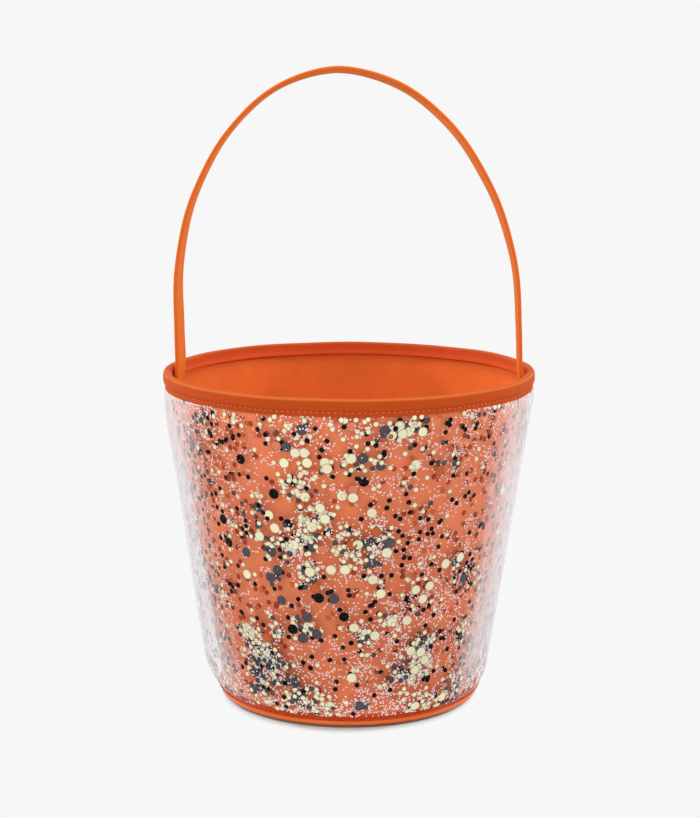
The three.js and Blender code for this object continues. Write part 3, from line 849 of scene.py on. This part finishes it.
def make_rim():
    inner_face = RIM_RADIUS - 2 * CLOTH_THICKNESS - 4 * SEAT_GAP - FILM_THICKNESS - 1.0 - CLOTH_THICKNESS
    inner_face = min(inner_face, LINER_HEAD_RADIUS - CLOTH_THICKNESS - SEAT_GAP)
    half = CLOTH_THICKNESS / 2
    outer_x, inner_x = RIM_RADIUS - half, inner_face - half
    middle, reach = (outer_x + inner_x) / 2, (outer_x - inner_x) / 2
    waist_top = HOOP_BOTTOM - 2 * SEAT_GAP
    waist_x = outer_x - WAIST_PINCH
    roll_height = RIM_TOP - half - ROLL_BOTTOM
    roll = [(middle + reach * math.copysign(abs(math.cos(t)) ** 0.6, math.cos(t)),
             ROLL_BOTTOM + roll_height * math.sin(t) ** 0.6) for t in np.linspace(0, math.pi, 21)]
    hollow = [(inner_x + 0.28, RIM_TOP - 4.6)]
    line = [(waist_x + 0.2, HEM_BOTTOM + half), (waist_x, TOPSTITCH_Z - 1.2), (waist_x, waist_top - 1.2),
            (outer_x, waist_top)] + roll + hollow + [(inner_x - 0.1, RIM_TOP - INNER_DROP + half)]
    line = thinned(rounded(line, 1.1, 0.25), 1.6, 0.01)

    def sewn(angle, z):
        row = np.exp(-(((z - TOPSTITCH_Z) / 0.9) ** 2))
        hole = 0.5 - 0.5 * np.cos(TOPSTITCH_COUNT * angle)
        puff = wave_sum(angle, [(0.05, 31, 0.3), (0.05, 53, 1.3), (0.04, 74, 2.1)])
        band = smoothstep(HEM_BOTTOM - 1, HEM_BOTTOM + 3, z) * (1 - smoothstep(RIM_TOP - 3, RIM_TOP, z))
        join = 0.5 * np.exp(-(((angle - BINDING_JOIN) * RIM_RADIUS / 1.3) ** 2)) * (z < ROLL_BOTTOM + 1)
        return -row * (0.12 + 0.34 * hole) + puff * band + join * band

    section = sheet_section(line, CLOTH_THICKNESS)
    # Inner faces: the binding cloth painted lighter; outer faces: the plain binding cloth with its painted
    # fold highlight
    piece = revolved("rim_binding_cloth", section, 4 * TOPSTITCH_COUNT, binding_inside_painted_lighter,
                     sewn, rim_wave)
    paint_outside(piece, binding_cloth)
    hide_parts("rim_binding")

    stitches = []
    for k in range(TOPSTITCH_COUNT):
        angle = 2 * math.pi * k / TOPSTITCH_COUNT
        along, up, out = round_axes(angle)
        tilt = 0.06 * math.sin(3.7 * k)
        height = TOPSTITCH_Z + 0.08 * math.sin(1.7 * k) + float(rim_wave(angle, TOPSTITCH_Z))
        spot = round_point(angle, waist_x + half, height)
        stitches.append((spot, [(along + up * tilt) * 2.3, up * 0.75, out * 0.6]))
    stitched = sew("rim_stitches", stitches, bright_thread)
    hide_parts("rim_topstitch")

    stitches = []
    for k in range(TOPSTITCH_COUNT):
        angle = 2 * math.pi * (k + 0.5) / TOPSTITCH_COUNT
        along, up, out = round_axes(angle)
        height = RIM_TOP - INNER_DROP + 1.5
        height += float(rim_wave(angle, height))
        spot = round_point(angle, inner_x - half - 0.05, height)
        stitches.append((spot, [along * 2.3, up * 0.6, out * -0.45]))
    sew("rim_stitches_inside", stitches, dark_thread)


# The strap: one band from end to end, sewn inside the rim, with the swinging part above the hinge


def strap_route():
    """Points (x, z) along the strap's middle from its left end to its right end."""
    rise = CROWN_Z - SPRING_Z
    right = [(LEG_X * math.cos(t), SPRING_Z + rise * math.sin(t) - CROWN_POINT * math.sin(2 * t))
             for t in np.linspace(math.pi / 2, 0, 110)]
    right += [(LEG_X, z) for z in np.linspace(SPRING_Z, SEWN_TOP, 30)[1:]]
    right += [(LEG_X + (FOOT_X - LEG_X) * s, SEWN_TOP + (END_BOTTOM - SEWN_TOP) * s)
              for s in np.linspace(0, 1, 8)[1:]]
    left = [(-x, z) for x, z in right[:0:-1]]
    route = np.array(left + right)
    rise = np.clip((route[:, 1] - HINGE_Z) / (CROWN_Z - HINGE_Z), 0, None)
    pull = 1 - LEG_PULL / LEG_X * smoothstep(SEWN_TOP, RIM_TOP - 1, route[:, 1])
    route[:, 0] = route[:, 0] * pull + CROWN_LEAN * rise
    return rounded(route, 6, 2.0)


def strap_section():
    """Outline of the folded strap across its width: round folds at both edges, a little fuller in the
    middle, and the lap of the fold as a shallow step on the inner face."""
    half, thick = STRAP_WIDTH / 2, STRAP_THICKNESS / 2
    edge = 1.1
    flat = np.linspace(-half + edge, half - edge, 24)
    full = edge + (thick - edge) * np.cos(np.pi * flat / STRAP_WIDTH)
    outer = list(zip(flat, full))
    turns = np.linspace(math.pi / 2, -math.pi / 2, 9)[1:-1]
    right = [(half - edge + edge * math.cos(t), edge * math.sin(t)) for t in turns]
    lap = 0.3 * np.exp(-((flat - 8.2) / 0.5) ** 2)
    inner = list(zip(flat, -(full - lap)))[::-1]
    left = [(-half + edge - edge * math.cos(t), -edge * math.sin(t)) for t in turns]
    return np.array(outer + right + inner + left)


def strap_roll(share):
    """How far the band turns about its own length, in degrees, from its left end to its right end."""
    places = [0, 0.028, 0.052, 0.12, 0.18, 0.27, 0.36, 0.42, 0.46, 0.5, 0.56, 0.62, 0.71, 0.76, 0.82, 0.88,
              0.948, 0.972, 1]
    turns = [0, 0, 3.4, 2.2, 0.6, -0.6, -0.2, 1.5, 4.2, 6.8, 9.0, 9.6, 9.2, 8.0, 5.6, 4.2, 3.2, 0, 0]
    return np.interp(share, places, turns)


def strap_frames():
    """For each point along the strap: distance from its left end, middle, width direction and outward one."""
    route = strap_route()
    along = np.gradient(route, axis=0)
    along /= np.hypot(*along.T)[:, None]
    place = np.concatenate([[0], np.cumsum(np.hypot(*np.diff(route, axis=0).T))])
    share = place / place[-1]
    roll = np.radians(strap_roll(share))[:, None]
    wobble = 0.18 * np.sin(place / 17 + 0.6) + 0.12 * np.sin(place / 7.3 + 2.0)
    free = smoothstep(0.06, 0.12, share) * (1 - smoothstep(0.88, 0.94, share))
    none = np.zeros(len(route))
    out = np.column_stack([-along[:, 1], none, along[:, 0]])
    wide = np.array([0.0, 1.0, 0.0])
    middle = np.column_stack([route[:, 0], none, route[:, 1]]) + out * (wobble * free)[:, None]
    edge_wave = (1 + 0.006 * np.sin(place / 11) * free)[:, None]
    turn_wide = (wide * np.cos(roll) - out * np.sin(roll)) * edge_wave
    turn_out = out * np.cos(roll) + wide * np.sin(roll)
    return place, middle, turn_wide, turn_out


def strap_band(name, frames, section, material, body):
    """A closed section of (across, outward) points drawn along the strap."""
    place, middle, wide, out = frames
    points = middle[:, None] + section[None, :, :1] * wide[:, None] + section[None, :, 1:] * out[:, None]
    piece = tube(name, points, place, section, section[:, ::-1], material, True, body)
    rework(piece, lambda build: bmesh.ops.recalc_face_normals(build, faces=build.faces))
    return piece


def make_strap():
    frames = strap_frames()
    strap = strap_band("handle_strap", frames, strap_section(), strap_cloth, None)
    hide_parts("handle_cover", "handle_end_left", "handle_end_right")
    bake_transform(strap)

    above = frames[1][:, 2] > HINGE_Z
    half = (core_high[1] - core_low[1]) / 2
    across = np.linspace(-half, half, 12)
    face = list(zip(across, np.full(12, CORE_THICKNESS / 2)))
    section = np.array(face + [(y, -t) for y, t in reversed(face)])
    swinging = [part[above] for part in frames]
    core = strap_band("handle_webbing", swinging, section, webbing, "handle")
    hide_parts("handle_core")

    for side, name in ((-1, "left"), (1, "right")):
        make_box_stitch(side, name)


def make_box_stitch(side, name):
    """The box of stitches, with one diagonal, that holds a strap end to the liner."""
    margin, pitch = 2.5, 2.6
    half_y, half_z = STRAP_WIDTH / 2 - margin, (SEWN_TOP - END_BOTTOM) / 2 - margin
    lean = math.atan2(LEG_X - FOOT_X, SEWN_TOP - END_BOTTOM)
    up = np.array([side * math.sin(lean), 0, math.cos(lean)])
    across = np.array([0, side * 1.0, 0])
    out = np.cross(across, up)
    centre = np.array([side * (LEG_X + FOOT_X) / 2, 0, (END_BOTTOM + SEWN_TOP) / 2])
    centre = centre + out * STRAP_THICKNESS / 2
    if out[0] * side > 0:
        out = -out
        centre = centre + out * STRAP_THICKNESS
    corners = [(-half_y, -half_z), (half_y, -half_z), (half_y, half_z), (-half_y, half_z)]
    runs = [(corners[k], corners[(k + 1) % 4]) for k in range(4)] + [(corners[0], corners[2])]
    stitches = []
    for (y1, z1), (y2, z2) in runs:
        length = math.hypot(y2 - y1, z2 - z1)
        count = max(1, round(length / pitch))
        direction = (across * (y2 - y1) + up * (z2 - z1)) / length
        for k in range(count):
            share = (k + 0.5) / count
            spot = centre + across * (y1 + (y2 - y1) * share) + up * (z1 + (z2 - z1) * share)
            axes = [direction * 2.1, np.cross(out, direction) * 0.5, out * 0.45]
            stitches.append((spot - out * 0.05, axes))
    stitched = sew(f"handle_stitches_{name}", stitches, bright_thread)
    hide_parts(f"handle_end_stitch_{name}")


# Confetti


def camera_axes():
    yaw = CAMERA_AZIMUTH - 1 / FOCAL_PIXELS
    pitch = CAMERA_PITCH
    forward = np.array([-math.sin(yaw) * math.cos(pitch), math.cos(yaw) * math.cos(pitch), -math.sin(pitch)])
    right = np.array([math.cos(yaw), math.sin(yaw), 0])
    place = np.array([CAMERA_DISTANCE * math.sin(CAMERA_AZIMUTH), -CAMERA_DISTANCE * math.cos(CAMERA_AZIMUTH),
                      CAMERA_HEIGHT])
    return place, forward, right, np.cross(right, forward)


def on_sleeve(x, y):
    """Angle and height where the photograph's pixel (x, y) meets the sleeve's near side, or None."""
    eye, forward, right, up = camera_axes()
    ray = forward + right * (x - IMAGE_WIDTH / 2) / FOCAL_PIXELS - up * (y - IMAGE_HEIGHT / 2) / FOCAL_PIXELS
    z = 100.0
    for _ in range(8):
        radius = float(sleeve_base(z)) - FILM_THICKNESS
        a = ray[0] ** 2 + ray[1] ** 2
        b = eye[0] * ray[0] + eye[1] * ray[1]
        c = eye[0] ** 2 + eye[1] ** 2 - radius**2
        root = b * b - a * c
        if root < 0:
            return None
        reach = (-b - math.sqrt(root)) / a
        spot = eye + ray * reach
        z = float(np.clip(spot[2], SEAM_Z, PUFF_Z))
    return math.atan2(spot[0], -spot[1]), z


# Large discs that stand out in the photograph, by colour, as pixels (x, y)
LARGE_DISCS = {
    "black": [(241, 459), (224, 519), (288, 524), (364, 482), (319, 598), (344, 617), (293, 629)],
    "charcoal": [(286, 447), (258, 507), (385, 431), (363, 459), (381, 466), (457, 464), (311, 548),
                 (272, 552), (278, 570), (271, 577), (311, 579), (334, 599), (282, 600), (307, 617),
                 (303, 638), (317, 634), (269, 665), (295, 686), (296, 698), (254, 689), (265, 692),
                 (370, 544), (390, 543), (372, 563), (456, 562), (464, 578), (362, 640), (405, 670),
                 (455, 688), (359, 706), (247, 552), (301, 430)],
    "gold": [(304, 453), (295, 453), (284, 463), (307, 463), (325, 463), (327, 469), (305, 497), (342, 496),
             (320, 508), (312, 527), (269, 515), (325, 519), (275, 528), (260, 536), (400, 426), (403, 434),
             (392, 436), (423, 432), (409, 432), (351, 459), (416, 465), (372, 513), (353, 498), (294, 545),
             (291, 551), (331, 570), (345, 570), (310, 572), (248, 574), (308, 627), (330, 706), (358, 545),
             (387, 553), (446, 564), (373, 580), (381, 594), (416, 590), (430, 586), (423, 599), (354, 628),
             (366, 633), (375, 636), (392, 622), (411, 651), (421, 652), (425, 660), (415, 670), (411, 678),
             (415, 706), (442, 697)],
    "orange": [(358, 556), (300, 505), (352, 545)],
    "peach": [(300, 473), (382, 447), (353, 490), (323, 550), (352, 427), (276, 446)],
}

# Heaps where small confetti gathers: pixel (x, y), spread in pixels, and how many of each small kind
HEAP_KINDS = ("gold", "charcoal", "black", "orange", "glitter")
HEAPS = [
    (312, 432, 20, 24, 3, 5, 0, 130), (296, 438, 8, 5, 0, 0, 0, 40), (294, 483, 8, 18, 5, 0, 0, 50),
    (312, 482, 8, 12, 2, 0, 0, 16), (306, 520, 9, 27, 7, 2, 0, 40), (322, 516, 7, 24, 2, 0, 0, 16),
    (298, 542, 10, 40, 9, 3, 0, 50), (252, 524, 9, 12, 7, 4, 0, 12), (257, 496, 4, 5, 0, 0, 0, 4),
    (274, 545, 7, 8, 7, 2, 0, 10), (350, 546, 12, 32, 13, 3, 0, 50), (233, 528, 5, 5, 0, 0, 0, 8),
    (392, 428, 8, 12, 4, 2, 0, 30), (416, 429, 8, 16, 6, 5, 0, 30), (366, 430, 9, 11, 0, 0, 0, 12),
    (376, 458, 9, 11, 2, 1, 0, 8), (420, 467, 12, 11, 6, 3, 0, 30), (344, 462, 8, 8, 2, 3, 0, 8),
    (384, 543, 8, 12, 7, 4, 0, 30), (248, 630, 7, 22, 1, 0, 0, 70), (258, 645, 8, 20, 10, 0, 0, 70),
    (268, 658, 8, 13, 22, 3, 0, 80), (277, 667, 8, 7, 18, 3, 0, 60), (257, 668, 8, 13, 12, 0, 0, 50),
    (276, 631, 6, 6, 5, 0, 0, 40), (262, 686, 8, 4, 16, 2, 0, 50), (232, 683, 8, 7, 2, 0, 0, 30),
    (222, 594, 10, 6, 5, 3, 0, 50), (272, 577, 5, 1, 4, 1, 0, 12), (310, 575, 7, 8, 8, 4, 0, 40),
    (306, 628, 8, 10, 5, 2, 0, 20), (273, 614, 5, 2, 1, 0, 0, 16), (296, 692, 8, 6, 14, 2, 0, 40),
    (318, 703, 11, 16, 8, 0, 0, 80), (290, 706, 9, 9, 0, 0, 0, 40), (268, 702, 8, 6, 0, 0, 0, 24),
    (359, 705, 6, 0, 5, 0, 0, 60), (366, 633, 10, 9, 3, 1, 0, 30), (372, 562, 5, 1, 4, 0, 0, 8),
    (374, 579, 5, 5, 0, 3, 0, 8), (424, 592, 12, 10, 1, 7, 0, 40), (393, 623, 8, 9, 2, 2, 0, 40),
    (429, 642, 6, 8, 9, 2, 0, 40), (418, 652, 8, 16, 10, 0, 0, 60), (422, 664, 7, 16, 3, 0, 0, 40),
    (402, 671, 7, 2, 13, 0, 0, 40), (411, 677, 6, 12, 3, 0, 0, 30), (462, 632, 7, 10, 1, 2, 0, 30),
    (473, 675, 6, 2, 9, 0, 0, 40), (456, 688, 7, 5, 11, 1, 0, 30), (443, 697, 7, 14, 1, 0, 0, 30),
    (420, 703, 8, 10, 1, 0, 0, 50), (470, 568, 8, 5, 4, 3, 0, 40), (208, 480, 34, 9, 3, 22, 0, 260),
    (196, 425, 16, 6, 2, 9, 0, 190), (232, 418, 8, 6, 0, 0, 0, 30), (214, 560, 26, 8, 3, 10, 0, 160),
    (226, 640, 24, 5, 2, 2, 0, 150), (420, 545, 26, 0, 0, 9, 0, 170), (455, 600, 26, 4, 2, 4, 0, 170),
    (400, 640, 26, 3, 0, 2, 0, 130), (460, 660, 22, 4, 2, 2, 0, 80), (380, 690, 24, 6, 1, 2, 0, 108),
    (470, 450, 22, 3, 2, 2, 0, 140), (300, 690, 26, 3, 0, 0, 0, 66), (322, 710, 7, 4, 0, 0, 0, 50),
    (340, 712, 6, 0, 0, 0, 0, 40), (303, 708, 6, 0, 0, 0, 0, 40), (281, 702, 6, 3, 0, 0, 0, 40),
    (392, 708, 8, 0, 0, 0, 0, 50), (246, 690, 6, 0, 0, 0, 0, 40), (430, 703, 8, 4, 0, 0, 0, 50),
    (254, 652, 12, 0, 0, 0, 0, 90), (272, 668, 12, 0, 0, 0, 0, 90), (424, 655, 12, 0, 0, 0, 0, 70),
    (172, 403, 8, 5, 3, 5, 0, 90), (184, 408, 9, 4, 0, 5, 3, 90), (202, 413, 9, 2, 0, 2, 3, 60),
    (198, 438, 22, 2, 0, 24, 16, 70), (190, 462, 16, 2, 0, 12, 8, 40), (508, 401, 8, 2, 3, 1, 0, 50),
    (492, 410, 9, 3, 0, 1, 0, 60), (472, 415, 9, 3, 2, 1, 0, 50), (384, 692, 16, 0, 0, 0, 0, 120),
    (330, 664, 17, 0, 0, 0, 0, 80), (366, 658, 15, 0, 0, 0, 0, 50), (300, 540, 12, 0, 0, 0, 0, 50),
    (356, 546, 14, 0, 0, 0, 0, 50), (172, 416, 8, 0, 0, 4, 0, 60), (182, 440, 10, 3, 2, 7, 0, 80),
    (188, 470, 10, 3, 0, 6, 0, 60), (520, 420, 9, 4, 0, 5, 0, 80), (528, 446, 9, 2, 3, 4, 0, 60),
]

HEAP_TIGHTNESS = 0.62
BACK_HEAPS = 46
BACK_HEAP_COUNTS = (12, 7, 4, 0, 60)
SIZES = {"large": 3.2, "small": 1.62, "glitter": 0.54}
SPREAD_COUNTS = {"black": 780, "charcoal": 50, "gold": 235, "orange": 330, "peach": 120}
GLITTER_CHAINS = 3100
DEPTH_SPREAD = {"large": 0.35, "small": 1.0, "glitter": 1.0}
DEPTH_START = {"gold": 0.0, "black": 0.15, "charcoal": 0.22, "orange": 0.15, "peach": 0.15, "glitter": 1.0}
# How many painted shadow discs lie on the liner
PAINTED_SHADOW_DISC_COUNT = 1500
CONFETTI_BOTTOM = SEAM_Z + 3.0
CONFETTI_TOP = HEM_BOTTOM + 0.6
FIRST_DEPTH = 0.15
LAYER = 0.13
DEEPEST = 2.6
# How far the painted shadow discs stand off the liner
PAINTED_SHADOW_DISC_GAP = 0.30
DISC_THICKNESS = 0.07
SIZE_JITTER = (0.96, 1.04)
TEMPLATES = {"large": disc_template(28, 0.92), "small": disc_template(14, 0.86), "glitter": disc_template(6)}
# Radii that turn lengths along the wall into angles
WALL_RADIUS = 100
CHAIN_RADIUS = 104


def share_at(angle, z):
    """How thickly glitter lies at a place: most on the right of the front and low down, least at the upper
    left of the front, even round the back."""
    turn = math.degrees(math.remainder(angle, 2 * math.pi))
    front = math.exp(-((turn / 75) ** 2))
    right = 1 / (1 + math.exp(-(turn + 6) / 9))
    low = 1 - smoothstep(20, 120, z)
    here = max(0.42 + 0.68 * right, 0.85 * low)
    return float(front * here + (1 - front) * 0.6)


class Pile:
    """Keeps confetti from running into itself: each piece lies on the sleeve or under what lies there."""

    def __init__(self):
        self.cells = {}

    def layer(self, arc, z, radius):
        taken = set()
        column, row = int(arc // 7), int(z // 7)
        for c in (column - 1, column, column + 1):
            for r in (row - 1, row, row + 1):
                for other_arc, other_z, other_radius, level in self.cells.get((c, r), ()):
                    if math.hypot(arc - other_arc, z - other_z) < radius + other_radius:
                        taken.add(level)
        level = next(n for n in range(len(taken) + 1) if n not in taken)
        self.cells.setdefault((column, row), []).append((arc, z, radius, level))
        return level


def glitter_chains():
    """Flakes strung out in short curling lines, as static leaves them on the vinyl."""
    places = []
    for _ in range(GLITTER_CHAINS):
        angle = rng.uniform(-math.pi, math.pi)
        z = CONFETTI_BOTTOM + (CONFETTI_TOP - CONFETTI_BOTTOM) * rng.uniform(0, 1) ** 1.1
        if rng.uniform(0, 1.1) > share_at(angle, z):
            continue
        heading = rng.uniform(0, 2 * math.pi)
        curl = rng.normal(0, 0.4)
        for _ in range(rng.integers(1, 8)):
            places.append(("glitter", "glitter", angle, z))
            step = rng.uniform(1.2, 3.4)
            heading += curl + rng.normal(0, 0.9)
            angle += step * math.cos(heading) / CHAIN_RADIUS
            z += step * math.sin(heading)
    return places


def confetti_places():
    """(colour, size, angle, height) of every loose piece, in a random order for the depth they lie at."""
    first, rest = [], []
    for colour in ("black", "charcoal", "gold", "orange"):
        for k in range(1, 10):
            low, high = span(f"confetti_{colour}_{k:02d}")
            middle = (low + high) / 2
            first.append((colour, "large", math.atan2(middle[0], -middle[1]), middle[2]))
    for colour, spots in LARGE_DISCS.items():
        for x, y in spots:
            found = on_sleeve(x, y)
            if found:
                rest.append((colour, "large", *found))
    heaps = [(on_sleeve(x, y), spread * HEAP_TIGHTNESS, counts) for x, y, spread, *counts in HEAPS]
    for _ in range(BACK_HEAPS):
        angle = math.radians(rng.uniform(70, 298))
        z = CONFETTI_BOTTOM + 3 + 185 * rng.uniform(0, 1) ** 1.5
        many = rng.uniform(0.4, 1.3)
        counts = [int(most * many) for most in BACK_HEAP_COUNTS]
        heaps.append(((angle, z), rng.uniform(5, 11), counts))
        for _ in range(rng.integers(1, 5)):
            colour = rng.choice(["gold", "gold", "charcoal", "charcoal", "black", "peach"])
            spot = (angle + rng.normal(0, 9) / WALL_RADIUS, z + rng.normal(0, 9))
            rest.append((colour, "large", *spot))
    for centre, spread, counts in heaps:
        if centre is None:
            continue
        for kind, count in zip(HEAP_KINDS, counts):
            for _ in range(count):
                angle = centre[0] + rng.normal(0, spread) / WALL_RADIUS
                z = centre[1] + rng.normal(0, spread)
                size = "glitter" if kind == "glitter" else "small"
                rest.append((kind, size, angle, z))
    for kind, count in SPREAD_COUNTS.items():
        for _ in range(count):
            angle = rng.uniform(-math.pi, math.pi)
            z = CONFETTI_BOTTOM + (CONFETTI_TOP - CONFETTI_BOTTOM) * rng.uniform(0, 1) ** 1.15
            rest.append((kind, "small", angle, z))
    rest += glitter_chains()
    depth = [rng.uniform(0, DEPTH_SPREAD[size]) + DEPTH_START[kind] for kind, size, _, _ in rest]
    return first + [rest[k] for k in np.argsort(depth, kind="stable")]


def liner_outer(angle, z):
    return float(liner_radius(z) + liner_sway(angle, z))


def painted_shadow_disc_places():
    """Painted shadows: dark discs on the liner, standing in for the shadows the confetti casts on it, most of
    them towards the two sides.
    """
    places = []
    while len(places) < PAINTED_SHADOW_DISC_COUNT:
        angle = rng.uniform(-math.pi, math.pi)
        z = CONFETTI_BOTTOM + 10 + (CONFETTI_TOP - CONFETTI_BOTTOM - 14) * rng.uniform(0, 1)
        if rng.uniform(0, 1) < 0.05 + 0.95 * abs(math.sin(angle)) ** 1.7:
            places.append((angle, z))
    return places


# Lays the painted shadow discs on the liner, two deep at most
def make_painted_shadow_discs():
    pile = Pile()
    origins, frames = [], []
    for angle, z in painted_shadow_disc_places():
        radius = SIZES["small"] * rng.uniform(*SIZE_JITTER)
        level = pile.layer(angle % (2 * math.pi) * WALL_RADIUS, z, radius)
        if level > 1:
            continue
        along, up, out = round_axes(angle, LINER_SLOPE)
        origins.append(round_point(angle, liner_outer(angle, z) + PAINTED_SHADOW_DISC_GAP + LAYER * level, z))
        frames.append([along * radius, up * radius, out * DISC_THICKNESS])
    scattered("confetti_small_rust", *TEMPLATES["small"], origins, frames, foils["painted_shadow"], "confetti_orange",
              edge=foil_painted_outlines["painted_shadow"])


def make_confetti():
    pile = Pile()
    groups = {}
    for kind, size, angle, z in confetti_places():
        radius = SIZES[size]
        slack = radius if size == "large" else 0.6
        if not CONFETTI_BOTTOM + radius - slack < z < CONFETTI_TOP - radius + slack:
            continue
        z = float(np.clip(z, CONFETTI_BOTTOM + radius, CONFETTI_TOP - radius))
        wall = float(sleeve_inner(angle, z))
        level = pile.layer(angle % (2 * math.pi) * WALL_RADIUS, z, radius)
        depth = FIRST_DEPTH + LAYER * level
        if depth > DEEPEST:
            continue
        slope = float(sleeve_base(z + 1) - sleeve_base(z - 1)) / 2
        along, up, out = round_axes(angle, slope)
        sway = 0.20 if size == "glitter" else 0.012
        along = along + out * rng.normal(0, sway)
        along /= np.linalg.norm(along)
        up = up + out * rng.normal(0, sway)
        up = up - along * (up @ along)
        up /= np.linalg.norm(up)
        spin = rng.uniform(0, 2 * math.pi)
        first = along * math.cos(spin) + up * math.sin(spin)
        second = -along * math.sin(spin) + up * math.cos(spin)
        fit = radius * rng.uniform(*SIZE_JITTER)
        entry = groups.setdefault((size, kind), ([], []))
        entry[0].append(round_point(angle, wall - depth, z))
        entry[1].append([first * fit, second * fit, np.cross(first, second) * DISC_THICKNESS])
    for (size, kind), (origins, frames) in groups.items():
        name = "confetti_glitter" if size == "glitter" else f"confetti_{size}_{kind}"
        material = glitter_flakes if size == "glitter" else foils[kind]
        slot = {"glitter": "confetti_gold", "peach": "confetti_orange"}.get(kind, f"confetti_{kind}")
        # Each disc's outer ring and side take a painted shadow outline
        edge = None if size == "glitter" else foil_painted_outlines[kind]
        piece = scattered(name, *TEMPLATES[size], origins, frames, material, slot, edge=edge)
        if size == "large" and kind != "peach":
            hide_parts(*[f"confetti_{kind}_{k:02d}" for k in range(1, 10)])


def dress_cad_nodes():
    """Materials for the CAD pieces that stay as they are, out of sight inside the bucket."""
    finishes = {"base_board": board_grey, "base_piping_cord": white_plastic, "rim_hoop": white_plastic}
    for node, material in finishes.items():
        mesh = frame["nodes"][node].data
        mesh.materials.clear()
        mesh.materials.append(material)


# Stage


FLOOR_SHADE = 0.88
BACKDROP_GREY = 0.93
# The shaded patch of floor: where its middle is, how much narrower it is than deep, and where it ends
PATCH_MIDDLE = (0, -0.006, 0)
PATCH_SQUEEZE = (1.055, 1, 1)
PATCH_FADE = (0.0815, 0.0900)
FLOOR_Z = -0.0002


def make_stage():
    """Even white light and a floor that only shows close to the bucket, where it is shaded."""
    world = bpy.data.worlds.new("studio")
    bpy.context.scene.world = world
    world.use_nodes = True
    backdrop = world.node_tree.nodes["Background"]
    backdrop.inputs["Color"].default_value = (BACKDROP_GREY, BACKDROP_GREY, BACKDROP_GREY, 1)
    backdrop.inputs["Strength"].default_value = 1.0

    sh = Shader("floor")
    squeezed = sh.vector("MULTIPLY", sh.add("ShaderNodeTexCoord").outputs["Object"], PATCH_SQUEEZE)
    away = sh.vector("DISTANCE", squeezed, PATCH_MIDDLE, "Value")
    matte = sh.add("ShaderNodeBsdfDiffuse", Color=(FLOOR_SHADE * 0.90, FLOOR_SHADE, FLOOR_SHADE, 1))
    clear = sh.add("ShaderNodeBsdfTransparent")
    material = sh.finish(sh.cover(sh.ramp(away, *PATCH_FADE), matte.outputs[0], clear.outputs[0]))
    mesh = bpy.data.meshes.new("floor")
    mesh.from_pydata([(x, y, FLOOR_Z) for x, y in ((-1, -1), (1, -1), (1, 1), (-1, 1))], [], [(0, 1, 2, 3)])
    mesh.materials.append(material)
    floor = bpy.data.objects.new("floor", mesh)
    bpy.context.scene.collection.objects.link(floor)


LAMP_TARGET = (0, 0, 0.12)


def add_lamp(name, place, size, power):
    lamp = bpy.data.lights.new(name, "AREA")
    lamp.shape = "SQUARE"
    lamp.size = size
    lamp.energy = power
    piece = bpy.data.objects.new(name, lamp)
    piece.location = place
    aim = Vector(LAMP_TARGET) - Vector(place)
    piece.rotation_euler = aim.to_track_quat("-Z", "Y").to_euler()
    bpy.context.scene.collection.objects.link(piece)


def make_lamps():
    add_lamp("overhead", (0.0, 0.2, 1.9), 1.3, 23)
    add_lamp("front_fill", (-0.5, -1.55, 0.95), 0.22, 4.6)
    for side, name in ((-1, "left"), (1, "right")):
        azimuth = math.radians(108)
        place = (side * 1.5 * math.sin(azimuth), -1.5 * math.cos(azimuth), 0.75)
        add_lamp(f"{name}_side", place, 0.2, 9)


def make_camera():
    camera = bpy.data.cameras.new("camera")
    camera.lens = FOCAL_PIXELS / IMAGE_HEIGHT * SENSOR
    camera.sensor_width = SENSOR
    camera.sensor_fit = "AUTO"
    camera.clip_start, camera.clip_end = 0.05, 50
    view = bpy.data.objects.new("camera", camera)
    eye, forward, _, _ = camera_axes()
    view.location = eye * MM
    view.rotation_euler = Vector(forward).to_track_quat("-Z", "Y").to_euler()
    bpy.context.scene.collection.objects.link(view)
    bpy.context.scene.camera = view


def set_colours():
    view = bpy.context.scene.view_settings
    view.view_transform = "Standard"
    view.look = "None"
    bpy.context.scene.cycles.transparent_max_bounces = 24


make_camera()
set_colours()
make_stage()
make_lamps()
make_base()
make_liner()
make_sleeve()
make_rim()
make_strap()
make_confetti()
make_painted_shadow_discs()
dress_cad_nodes()
